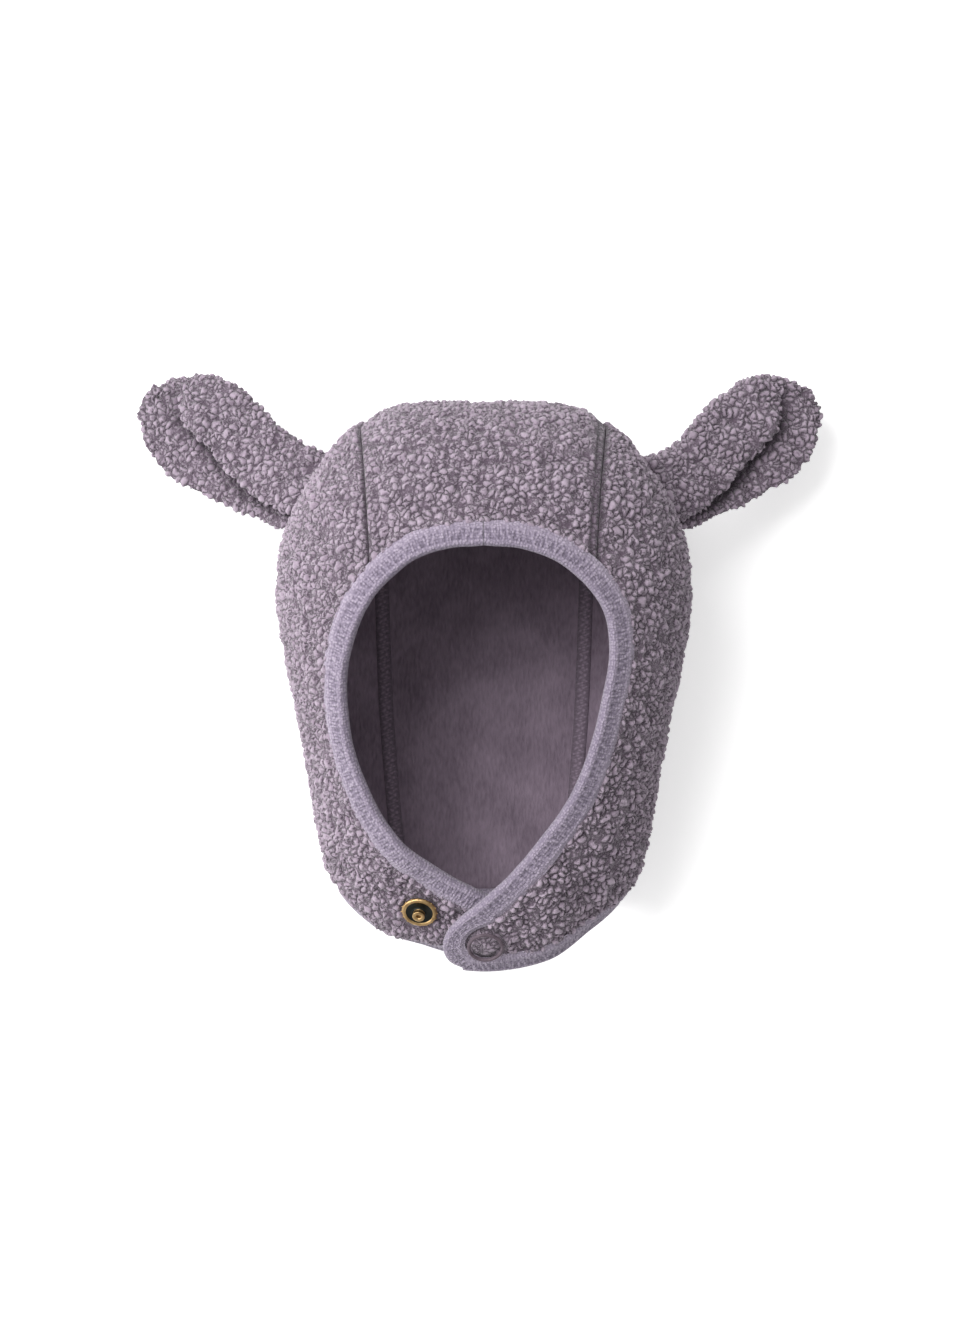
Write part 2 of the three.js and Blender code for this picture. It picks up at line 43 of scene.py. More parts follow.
# ---------------------------------------------------------------- the form of the three panels
# The hat is sewn from a centre panel and two side panels, of fleece that is curly outside and brushed
# inside. They lie in one form: sections across the hat from the crown to the chin, in millimetres.
MM = 0.001
PLACE = np.array([1.8, -0.17, 0.0])  # of the hat's middle plane
FLEECE = 2.6
SEAM_GAP = 0.4
ARCH_POWER = 5
CHIN_HALF = 52
PRESS = 1.2
SIDE_START = 0.3
TABS = {"lift": 3.8, "from_y": -70, "to_y": -90, "from_out": 46, "to_out": 24}
ROLL = {
    "from_v": 15.1, "bulge": 3.6, "down": 7, "side_out": 66, "full_out": 36, "full_tab": 20, "tab_out": 8,
    "faded": 0.4,
}

# y of the front centre, half width, heights of back, widest point and front, squareness of front and
# back, seam spacing, arch at the seams, lean, and rise towards the sides of the chin.
SECTIONS = np.array([
    [112.5, 49.6, 52.0, 52.0, 52.0, 4.0, 4.0, 48.9, 8.0, 0.0, 0],
    [111.4, 52.3, 39.5, 52.0, 64.5, 3.9, 3.9, 49.4, 8.0, 0.0, 0],
    [107.6, 56.7, 27.5, 52.0, 78.0, 3.6, 3.7, 49.0, 7.8, 0.0, 0],
    [101.3, 61.6, 17.0, 51.5, 88.5, 3.3, 3.5, 48.4, 6.8, 0.0, 0],
    [92.5, 66.8, 8.0, 51.0, 97.0, 3.0, 3.3, 47.6, 5.3, 0.0, 0],
    [81.0, 73.5, 1.6, 50.5, 103.0, 2.8, 3.1, 46.7, 3.5, 0.0, 0],
    [67.0, 80.0, -1.6, 50.0, 107.5, 2.6, 3.0, 45.8, 1.8, 0.0, 0],
    [50.0, 85.0, -2.6, 49.0, 110.5, 2.4, 3.0, 44.8, 0.7, 0.0, 0],
    [30.0, 86.3, -2.6, 48.0, 112.0, 2.3, 3.0, 44.0, 0.0, 0.0, 0],
    [8.0, 83.3, -2.6, 46.5, 110.5, 2.2, 3.0, 43.3, 0.0, 0.0, 0],
    [-16.0, 78.5, -2.5, 44.0, 105.5, 2.2, 3.0, 42.4, 0.0, 0.0, 0],
    [-40.0, 74.3, -2.4, 41.0, 98.0, 2.2, 3.0, 41.1, 0.0, 0.05, 0],
    [-62.0, 71.4, -2.0, 38.0, 89.0, 2.2, 2.9, 39.8, 0.0, 0.1, 0.5],
    [-80.0, 69.2, -1.2, 35.5, 80.0, 2.2, 2.8, 38.8, 0.0, 0.17, 1.8],
    [-93.0, 67.6, -0.4, 33.5, 72.5, 2.2, 2.7, 37.8, 0.0, 0.24, 4],
    [-104.0, 65.6, 0.8, 32.0, 64.5, 2.2, 2.6, 37.1, 0.0, 0.31, 7],
    [-114.0, 62.4, 1.8, 31.0, 56.5, 2.2, 2.5, 36.4, 0.0, 0.37, 11.5],
    [-121.8, 57.2, 2.4, 30.0, 48.0, 2.2, 2.5, 35.8, 0.0, 0.42, 16],
])
LAST = len(SECTIONS) - 1
SEAM_COLUMN = 7
SEAM_SHIFT = {1: 1.7, -1: 2.6}  # of the seam over the forehead, outwards

# The free edge of each half, from the middle of the forehead to the end of the chin tab: distance out
# from the middle, and y.
EDGES = {
    1: [
        (0, 53.0), (15, 51.8), (28.8, 47.2), (39.4, 39.8), (46.0, 32.8), (51.0, 24.5), (53.4, 14),
        (53.2, 2), (50.8, -11), (47.4, -26), (42.2, -41.8), (34.6, -57), (23.4, -71.8), (12.0, -83.4),
        (-0.5, -94.9), (-8.5, -101.5), (-13.6, -107.1), (-15.3, -112.4), (-13.4, -117.2), (-8.0, -120.4),
    ],
    -1: [
        (0, 53.0), (15, 51.8), (28.8, 47.2), (38.7, 39.8), (45.6, 32.8), (51.8, 22.5), (56.4, 10),
        (58.9, -3), (58.7, -16), (56.3, -32.4), (51.2, -46.8), (44.0, -61), (33.8, -74.3), (18.8, -86.8),
        (3.6, -94.9), (-8.3, -101.6), (-15.0, -108.0), (-16.8, -113.4), (-14.0, -118.2), (-8.0, -120.4),
    ],
}


def along_rows(table, before, v):
    """The row of a table at each station v, on a smooth curve through its rows."""
    rows = np.vstack([before, table, 2 * table[-1] - table[-2]])
    k = np.clip(np.floor(v).astype(int), 0, len(table) - 2)
    t = (v - k)[..., None]
    a, b, c, d = (rows[k + n] for n in range(4))
    slope_b = (c - a) / 2
    slope_c = (d - b) / 2
    rise = 3 * t**2 - 2 * t**3
    return b + rise * (c - b) + (t**3 - 2 * t**2 + t) * slope_b + (t**3 - t**2) * slope_c


def section_at(v):
    """The section values at each station v. Over the crown the front turns into the back."""
    turned_round = SECTIONS[1][[0, 1, 4, 3, 2, 5, 6, 7, 8, 9, 10]]
    return np.moveaxis(along_rows(SECTIONS, turned_round, np.asarray(v, float)), -1, 0)


def smoothstep(start, end, x):
    t = np.clip((x - start) / (end - start), 0, 1)
    return t * t * (3 - 2 * t)


def on_form(side, turn, v):
    """Points of the form: turn runs round a section from 0 at the front centre to pi at the back."""
    y, half, back, widest, front, nf, nb, seam, arch, lean, chin = section_at(v)
    is_front = np.cos(turn) >= 0
    power = 2 / np.where(is_front, nf, nb)
    out = half * np.sign(np.sin(turn)) * np.abs(np.sin(turn)) ** power
    rise = np.abs(np.cos(turn)) ** power
    z = widest + (np.where(is_front, front, back) - widest) * rise
    y = y - arch * np.minimum(1, np.abs(out) / seam) ** ARCH_POWER
    y = y + lean * (front - z) + chin * (out / CHIN_HALF) ** 2
    pressed = np.where(z > PRESS, z, np.clip(z + PRESS, 0, None) ** 2 / (4 * PRESS))
    return np.stack([side * out, y, pressed], -1)


def unit(vectors):
    return vectors / np.linalg.norm(vectors, axis=-1, keepdims=True)


def slopes_of(surface, side, turn, v, step=1e-3):
    """Slopes of a surface along turn and along v, and its outward normal."""
    v0 = np.maximum(0, v - step)
    v1 = np.minimum(LAST, v + step)
    along_turn = (surface(side, turn + step, v) - surface(side, turn - step, v)) / (2 * step)
    along_v = (surface(side, turn, v1) - surface(side, turn, v0)) / (v1 - v0)[..., None]
    normal = np.cross(along_v, along_turn) * (side if np.isscalar(side) else side[..., None])
    return along_turn, along_v, unit(normal)


def on_hat(side, turn, v):
    """Points of the cloth's outer face: the right tab is lifted off the left one, which rolls under it."""
    point = on_form(side, turn, v)
    front = np.cos(turn) >= 0
    out = side * point[..., 0]
    lifted = smoothstep(TABS["from_y"], TABS["to_y"], point[..., 1])
    lifted = lifted * smoothstep(TABS["from_out"], TABS["to_out"], out) * front
    normal = slopes_of(on_form, side, turn, v)[2]
    point = point + normal * (TABS["lift"] * side * lifted)[..., None]
    t = np.clip((v - ROLL["from_v"]) / (LAST - ROLL["from_v"]), 0, None)
    rolled = smoothstep(ROLL["side_out"], ROLL["full_out"], out)
    rolled = rolled * smoothstep(ROLL["tab_out"], ROLL["full_tab"], out)
    rolled = rolled * smoothstep(0, ROLL["faded"], np.cos(turn)) * (np.asarray(side) < 0)
    point[..., 1] -= ROLL["bulge"] * np.sin(np.pi * t) ** 2 * rolled
    point[..., 2] -= ROLL["down"] * t**2 * rolled
    return point


def seam_at(side, v, front=True):
    """Distance of the seam from the middle plane at each station, on the front or on the back."""
    seam = section_at(v)[SEAM_COLUMN]
    return seam + SEAM_SHIFT[side] * smoothstep(0.2, 1.6, np.asarray(v, float)) if front else seam


def front_turn(v, out):
    _, half, _, _, _, nf, *_ = section_at(v)
    return np.sign(out) * np.arcsin(np.minimum(1, np.abs(out) / half) ** (nf / 2))


def back_turn(v, out):
    _, half, _, _, _, _, nb, *_ = section_at(v)
    return np.pi - np.arcsin(np.minimum(1, np.abs(out) / half) ** (nb / 2))


def front_place(side, out, y):
    """The turn and station of the front points that are out from the middle at height y."""
    low = np.zeros_like(out)
    high = np.full_like(out, LAST)
    for _ in range(36):
        v = (low + high) / 2
        above = on_form(side, front_turn(v, out), v)[..., 1] > y
        low = np.where(above, v, low)
        high = np.where(above, high, v)
    return front_turn(low, out), low


def resampled(rows, shares, measured=None):
    """Rows at shares of a line's length, which is measured over its first columns or over all."""
    steps = np.linalg.norm(np.diff(rows[:, :measured], axis=0), axis=1)
    length = np.concatenate([[0], np.cumsum(steps)])
    return np.stack([np.interp(shares * length[-1], length, column) for column in rows.T], -1)


def edge_outline(side, count=2400):
    """The free edge as a smooth centripetal curve through its points, seen from the front."""
    p = np.array(EDGES[side], float)
    p = np.vstack([2 * p[0] - p[1], p, 2 * p[-1] - p[-2]])
    pieces = []
    for p0, p1, p2, p3 in zip(p, p[1:], p[2:], p[3:]):
        d0, d1, d2 = (math.sqrt(np.linalg.norm(b - a)) for a, b in ((p0, p1), (p1, p2), (p2, p3)))
        m1 = ((p1 - p0) / d0 - (p2 - p0) / (d0 + d1) + (p2 - p1) / d1) * d1
        m2 = ((p2 - p1) / d1 - (p3 - p1) / (d1 + d2) + (p3 - p2) / d2) * d1
        t = np.linspace(0, 1, 60)[:-1, None]
        curve = p1 + m1 * t + (3 * (p2 - p1) - 2 * m1 - m2) * t**2 + (m1 + m2 - 2 * (p2 - p1)) * t**3
        pieces.append(curve)
    outline = np.vstack([*pieces, p[-2:-1]])
    return resampled(outline, np.linspace(0, 1, count))


FACE_STEP = 0.72  # spacing of the pile's points along the face edge and the seams
COLUMNS_SIDE = 208
COLUMNS_CENTRE = 136
ROWS_CROWN = 132
ROWS_BACK = 348
edge_places = {}
for side in (1, -1):
    outline = edge_outline(side)
    turn, v = front_place(side, outline[:, 0], outline[:, 1])
    v[-1] = LAST
    edge_places[side] = np.stack([outline[:, 0], turn, v], -1)


def length_of(points):
    return np.linalg.norm(np.diff(points, axis=0), axis=1).sum()


def side_panel_places(side):
    """Turn and station of a side panel's points: rows from the crown to the hem, columns to the back."""
    out, turn, v = edge_places[side].T
    corner = np.argmax(out > seam_at(side, v) + SEAM_GAP / 2)
    corner_places = np.stack([turn[corner:], v[corner:]], -1)
    v_seam = np.linspace(SIDE_START, v[corner], 400)
    seam_places = np.stack([front_turn(v_seam, seam_at(side, v_seam) + SEAM_GAP / 2), v_seam], -1)
    boundary = []
    for places in (seam_places, corner_places):
        points = on_hat(side, places[:, 0], places[:, 1])
        count = 4 * max(1, round(length_of(points) / FACE_STEP / 4))
        both = resampled(np.hstack([points, places]), np.linspace(0, 1, count + 1))
        boundary.append(both[:-1, 3:] if places is seam_places else both[:, 3:])
    boundary = np.vstack(boundary)
    boundary[-1, 1] = LAST
    rows = []
    for turn0, v0 in boundary:
        end = back_turn(np.array(v0), seam_at(side, v0, False) + SEAM_GAP / 2)
        fine = np.linspace(turn0, end, 140)
        points = on_form(side, fine, np.full_like(fine, v0))
        both = resampled(np.hstack([points, fine[:, None]]), np.linspace(0, 1, COLUMNS_SIDE + 1))
        turns = both[:, 3]
        turns[0], turns[-1] = turn0, end
        rows.append(np.stack([turns, np.full_like(turns, v0)], -1))
    return np.array(rows)


def centre_panel_places():
    """Side, turn and station of the centre panel's points: rows from the forehead over the crown."""
    shares = np.linspace(-1, 1, COLUMNS_CENTRE + 1)
    v_even = {}
    for name, start, count in (("front", 8.0, ROWS_CROWN), ("back", float(LAST), ROWS_BACK)):
        v = np.linspace(0, start, 900)
        turn = front_turn(v, 0 * v) if name == "front" else back_turn(v, 0 * v)
        both = resampled(np.hstack([on_hat(1, turn, v), v[:, None]]), np.linspace(0, 1, count + 1))
        v_even[name] = both[:, 3]
    columns = []
    for share in shares:
        side = -1 if share < 0 else 1
        out, _, v = edge_places[side].T
        inside = seam_at(side, v) - SEAM_GAP / 2
        start = np.interp(abs(share), (out / inside)[:500], v[:500])
        v_front = v_even["front"][::-1] / v_even["front"][-1] * start
        v_back = v_even["back"][1:]
        seam = [seam_at(side, x, x is v_front) - SEAM_GAP / 2 for x in (v_front, v_back)]
        turns = np.concatenate([
            front_turn(v_front, abs(share) * seam[0]), back_turn(v_back, abs(share) * seam[1])
        ])
        v = np.concatenate([v_front, v_back])
        columns.append(np.stack([np.full_like(v, side), turns, v], -1))
    return np.array(columns).transpose(1, 0, 2)


# ---------------------------------------------------------------- the pile and the lining
# The pile is yarn in tight knobbly curls about 3 mm across. The gaps between them are darker, partly in the
# yarn's own colour and partly as painted shade. The pile thins out into the seams, and is pressed down
# under the binding and round the press studs.
KNOB = 3.05
WARPS = ((3.0, 2.4), (1.2, 0.9))  # size and amount by which the knobs are pushed out of shape
PILE = {"low": -0.35, "knob": 1.35, "tuft": 1.0, "swell": 0.5}
BINDING_WIDTH = 9.5
# How far the pressed band along each seam runs into the side panel and into the centre panel, where a
# second crease lies, how much of the pile the band loses, and how much painted shade it gets.
SEAM_BANDS = {
    1: {"outer": 1.2, "inner": 4.7, "crease": 3.4, "pressed": 0.9, "dark": 0.42, "depth": 0.7},
    -1: {"outer": 0.6, "inner": 4.2, "crease": 5.4, "pressed": 0.45, "dark": 0.1, "depth": 0.35},
}
# The groove's depth, and how much painted shade it gets.
SEAM_GROOVE = {"depth": 0.8, "dark": 0.62}
UNDER_BINDING = 0.25  # how far the cloth is pressed in there
LIP = 0.6  # of pile that the binding's edge pushes up
HEM_CUT = 0.04  # of a turn: the hem's corner is cut a little, as a folded band's is


def hashed(i, j, k, salt):
    """An even random number from 0 to 1 for each whole-number cell."""
    h = (i * 73856093) ^ (j * 19349663) ^ (k * 83492791) ^ (salt * 2654435761)
    h = h & 0xFFFFFFFF
    h = ((h ^ (h >> 15)) * 2246822519) & 0xFFFFFFFF
    h = ((h ^ (h >> 13)) * 3266489917) & 0xFFFFFFFF
    return ((h ^ (h >> 16)) & 0xFFFFFFFF) / 4294967296.0


def swell(points, size, salt):
    """Smooth random heights from 0 to 1 with bumps about size across."""
    q = points / size
    base = np.floor(q).astype(np.int64)
    t = q - base
    t = t * t * (3 - 2 * t)
    total = np.zeros(len(q))
    for di in (0, 1):
        for dj in (0, 1):
            for dk in (0, 1):
                i, j, k = (base + (di, dj, dk)).T
                weight = np.abs(1 - di - t[:, 0]) * np.abs(1 - dj - t[:, 1]) * np.abs(1 - dk - t[:, 2])
                total += weight * hashed(i, j, k, salt)
    return total


def cell_values(places):
    """For each place its distance from its knob's middle and from the next knob, as the material has them."""
    mesh = bpy.data.meshes.new("knob_places")
    mesh.from_pydata(places.tolist(), [], [])
    probe = bpy.data.objects.new("knob_places", mesh)
    bpy.context.scene.collection.objects.link(probe)
    tree = bpy.data.node_groups.new("knob_cells", "GeometryNodeTree")
    tree.interface.new_socket("Geometry", in_out="INPUT", socket_type="NodeSocketGeometry")
    tree.interface.new_socket("Geometry", in_out="OUTPUT", socket_type="NodeSocketGeometry")
    place = tree.nodes.new("GeometryNodeInputPosition")
    last = tree.nodes.new("NodeGroupInput").outputs[0]
    features = ("F1", "DISTANCE_TO_EDGE")
    for feature in features:
        cells = tree.nodes.new("ShaderNodeTexVoronoi")
        cells.feature = feature
        cells.inputs["Scale"].default_value = 1 / KNOB
        store = tree.nodes.new("GeometryNodeStoreNamedAttribute")
        store.data_type = "FLOAT"
        store.domain = "POINT"
        store.inputs["Name"].default_value = feature
        tree.links.new(place.outputs[0], cells.inputs["Vector"])
        tree.links.new(last, store.inputs["Geometry"])
        tree.links.new(cells.outputs["Distance"], store.inputs["Value"])
        last = store.outputs["Geometry"]
    tree.links.new(last, tree.nodes.new("NodeGroupOutput").inputs[0])
    probe.modifiers.new("cells", "NODES").node_group = tree
    found = probe.evaluated_get(bpy.context.evaluated_depsgraph_get())
    values = []
    for feature in features:
        value = np.empty(len(places), np.float32)
        found.data.attributes[feature].data.foreach_get("value", value)
        values.append(value.astype(float))
    bpy.data.objects.remove(probe)
    bpy.data.meshes.remove(mesh)
    bpy.data.node_groups.remove(tree)
    return values


def knobs(points):
    """Where each point lies in the pile's cells, how tall its tuft is, and the pile's height in mm."""
    warped = points.copy()
    for n, (size, amount) in enumerate(WARPS):
        for axis in range(3):
            warped[:, axis] += amount * (swell(points, size, 40 + 3 * n + axis) - 0.5)
    middle, edge = cell_values(warped)
    knob = smoothstep(0.02, 0.26, edge) * (1 - 0.6 * smoothstep(0.25, 0.85, middle))
    tall = smoothstep(0.2, 0.75, swell(warped, 3.4, 30))
    height = PILE["low"] + PILE["knob"] * knob + PILE["tuft"] * (tall - 0.4)
    return warped, tall, height + PILE["swell"] * (swell(points, 9, 50) - 0.4)


def distance_to(points, line):
    tree = kdtree.KDTree(len(line))
    for index, point in enumerate(line):
        tree.insert(point, index)
    tree.balance()
    return np.array([tree.find(point)[2] for point in points])


def edge_loop_places(side):
    """Turn and station along one half of the free edge: the face edge, then the hem to the back's middle."""
    _, turn, v = edge_places[side].T
    hem = np.linspace(turn[-1] + HEM_CUT, np.pi, 1200)
    return np.stack([np.concatenate([turn, hem]), np.concatenate([v, np.full_like(hem, LAST)])], -1)


def seam_line(side):
    """Points along one seam, from the free edge over the crown and down the back."""
    out, _, v = edge_places[side].T
    corner = v[np.argmax(out > seam_at(side, v))]
    v_front = np.linspace(corner, 0, 300)
    v_back = np.linspace(0, LAST, 900)
    turn = np.concatenate([
        front_turn(v_front, seam_at(side, v_front)), back_turn(v_back, seam_at(side, v_back, False))
    ])
    return np.stack([turn, np.concatenate([v_front, v_back])], -1)


free_edges = {side: on_hat(side, *edge_loop_places(side)[::3].T) for side in (1, -1)}
seams = {side: on_hat(side, *seam_line(side).T) for side in (1, -1)}
STUD = {"side": -1, "out": 27.7, "y": -101.2, "pressed": 8.0}
CAP = {"side": 1, "out": 0.6, "y": -110.8, "pressed": 8.4, "dome": 1.9, "dome_radius": 6.2}


def seat_of(place):
    """The point of the cloth under a press stud, and the cloth's normal there."""
    out = np.array([float(place["out"])])
    turn, v = front_place(place["side"], out, np.array([float(place["y"])]))
    return on_hat(place["side"], turn, v)[0], slopes_of(on_hat, place["side"], turn, v)[2][0]


def pressed_by_seams(points, sides, is_side_panel, full, height, lit):
    """The pile's height and light, with the band and the groove along each seam."""
    for side in (1, -1):
        band = SEAM_BANDS[side]
        own = sides == side
        near = np.full(len(points), 99.0)
        near[own] = distance_to(points[own], seams[side])
        reach = band["outer"] if is_side_panel else band["inner"]
        on_band = (1 - smoothstep(reach - 0.5, reach + 0.7, near)) * full
        height = height * (1 - band["pressed"] * on_band) + 0.15 * on_band
        # Painted shade on the pressed band.
        lit = lit * (1 - band["dark"] * on_band)
        near = near + 0.7 * (swell(points, 2.5, 64) - 0.5)
        groove = (1 - smoothstep(0.35, 1.3, near)) * full
        if not is_side_panel:
            crease = (1 - smoothstep(0.15, 0.8, np.abs(near - band["crease"]))) * full * band["depth"]
            groove = np.maximum(groove, crease)
        height = height * (1 - groove) - SEAM_GROOVE["depth"] * groove
        # Painted shade in the groove and in the crease.
        lit = lit * (1 - SEAM_GROOVE["dark"] * groove)
    return height, lit


def pressed_by_studs(points, sides, height, lit):
    """The pile's height and light, pressed flat round each stud and raised in a pad under the cap."""
    for place in (STUD, CAP):
        centre, _ = seat_of(place)
        away = np.linalg.norm(points - centre, axis=1)
        on_its_side = sides == place["side"]
        flat = (1 - smoothstep(place["pressed"] - 0.4, place["pressed"] + 1.4, away)) * on_its_side
        height = height * (1 - 0.8 * flat) - 0.15 * flat
        # Painted shade in a ring round the foot of each stud and of the cap ring.
        lit = lit * (1 - 0.4 * flat * smoothstep(place["pressed"] - 2.4, place["pressed"] - 0.8, away))
        if "dome" in place:
            inside = np.clip(1 - (away / place["dome_radius"]) ** 2, 0, 1) * on_its_side
            height = height + place["dome"] * inside**0.6
    return height, lit


def raised(points, normals, sides, is_side_panel):
    """Outer face points with the pile on them, and the values that its material needs at each."""
    places, tall, height = knobs(points)
    edge = 2.2 * (swell(points, 3.5, 60) - 0.5)
    for side in (1, -1):
        edge[sides == side] += distance_to(points[sides == side], free_edges[side])
    full = smoothstep(BINDING_WIDTH - 2.6, BINDING_WIDTH - 0.6, edge)
    lip = full * (1 - smoothstep(BINDING_WIDTH, BINDING_WIDTH + 2.5, edge))
    height = (height + LIP * lip) * full - UNDER_BINDING * (1 - full)
    lit = np.ones(len(points))
    height, lit = pressed_by_seams(points, sides, is_side_panel, full, height, lit)
    height, lit = pressed_by_studs(points, sides, height, lit)
    return points + normals * height[:, None], {"places": places, "tall": tall, "lit": lit}


def numbered(grid, start=0):
    """The numbers of a grid's points, row by row."""
    return np.arange(grid.shape[0] * grid.shape[1]).reshape(grid.shape[:2]) + start


def wall_mesh(outer, inner):
    """Points and faces of a closed wall between a fine outer grid and a coarser inner one."""
    o = numbered(outer)
    n = numbered(inner, o.size)
    faces = np.stack([o[:-1, :-1], o[1:, :-1], o[1:, 1:], o[:-1, 1:]], -1).reshape(-1, 4).tolist()
    count = len(faces)
    faces += np.stack([n[:-1, :-1], n[:-1, 1:], n[1:, 1:], n[1:, :-1]], -1).reshape(-1, 4).tolist()
    rims = ((o[0], n[0]), (o[-1][::-1], n[-1][::-1]), (o[:, -1], n[:, -1]), (o[::-1, 0], n[::-1, 0]))
    for fine, few in rims:
        for k in range(len(few) - 1):
            faces.append([*fine[4 * k : 4 * k + 5].tolist(), int(few[k + 1]), int(few[k])])
    return np.vstack([outer.reshape(-1, 3), inner.reshape(-1, 3)]), faces, count


def dot(a, b):
    return np.einsum("ij,ij->i", a, b)


def soft_piece(name, points, faces, materials, slots, values):
    """A smooth closed piece from points in millimetres, turned outwards, with values at its points."""
    placed = (points + PLACE) * MM
    placed[:, 2] = np.maximum(placed[:, 2], 0)  # cloth is pressed flat where it lies on the table
    mesh = bpy.data.meshes.new(name)
    mesh.from_pydata(placed.tolist(), [], faces)
    for material in materials:
        mesh.materials.append(material)
    mesh.polygons.foreach_set("material_index", np.asarray(slots, np.int32))
    mesh.polygons.foreach_set("use_smooth", np.ones(len(faces), bool))
    for key, value in values.items():
        kind, field = ("FLOAT_VECTOR", "vector") if value.ndim == 2 else ("FLOAT", "value")
        mesh.attributes.new(key, kind, "POINT").data.foreach_set(field, value.astype(np.float32).ravel())
    mesh.update()
    mesh.calc_loop_triangles()
    corners = np.empty(len(mesh.loop_triangles) * 3, np.int32)
    mesh.loop_triangles.foreach_get("vertices", corners)
    a, b, c = points[corners].reshape(-1, 3, 3).transpose(1, 0, 2)
    if dot(a, np.cross(b, c)).sum() < 0:
        mesh.flip_normals()
    piece = bpy.data.objects.new(name, mesh)
    bpy.context.scene.collection.objects.link(piece)
    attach(piece, "root")
    return piece


def material_of(name, roughness, sheen=0.0):
    material = bpy.data.materials.new(name)
    material.use_nodes = True
    shader = material.node_tree.nodes["Principled BSDF"]
    shader.inputs["Roughness"].default_value = roughness
    shader.inputs["Sheen Weight"].default_value = sheen
    shader.inputs["Specular IOR Level"].default_value = 0.2
    return material, material.node_tree, shader


def sum_of(tree, operation, a, b, c=None):
    """A math node's result. Each input is a socket or a number."""
    node = tree.nodes.new("ShaderNodeMath")
    node.operation = operation
    for socket, value in zip(node.inputs, (a, b, c)):
        if isinstance(value, (int, float)):
            socket.default_value = value
        elif value is not None:
            tree.links.new(value, socket)
    return node.outputs[0]


def attribute_of(tree, name):
    node = tree.nodes.new("ShaderNodeAttribute")
    node.attribute_name = name
    return node


def own_place(tree):
    return tree.nodes.new("ShaderNodeTexCoord").outputs["Object"]


def coloured(tree, shader, value, stops):
    """Colours a material from dark to light by a value."""
    ramp = tree.nodes.new("ShaderNodeValToRGB")
    elements = ramp.color_ramp.elements
    while len(elements) < len(stops):
        elements.new(0.5)
    for element, (position, color) in zip(elements, stops):
        element.position = position
        element.color = (*color, 1)
    tree.links.new(value, ramp.inputs["Fac"])
    tree.links.new(ramp.outputs["Color"], shader.inputs["Base Color"])


def noise_of(tree, vector, size, detail=2.0, kind="ShaderNodeTexNoise"):
    node = tree.nodes.new(kind)
    node.inputs["Scale"].default_value = 1 / size
    if kind == "ShaderNodeTexNoise":
        node.inputs["Detail"].default_value = detail
    tree.links.new(vector, node.inputs["Vector"])
    return node


def bump_of(tree, shader, height, distance):
    bump = tree.nodes.new("ShaderNodeBump")
    bump.inputs["Distance"].default_value = distance
    bump.inputs["Strength"].default_value = 1
    tree.links.new(height, bump.inputs["Height"])
    tree.links.new(bump.outputs["Normal"], shader.inputs["Normal"])


def ranged(tree, value, start, end):
    """How far a value has come from start to end, eased."""
    node = tree.nodes.new("ShaderNodeMapRange")
    node.interpolation_type = "SMOOTHSTEP"
    node.inputs["From Min"].default_value = start
    node.inputs["From Max"].default_value = end
    tree.links.new(value, node.inputs["Value"])
    return node.outputs["Result"]


# The pile's colours run from the gaps, darker partly in the yarn's own colour and partly as painted shade, to
# the knobs' tops, painted lighter as if lit.
PILE_TONES = [
    (0.0, (0.04, 0.028, 0.04)), (0.28, (0.115, 0.084, 0.115)), (0.6, (0.31, 0.246, 0.31)),
    (1.0, (0.52, 0.437, 0.52)),
]
RAGGED = 2.6  # how far, in mm, the ragged edges of the yarn are pushed about at most


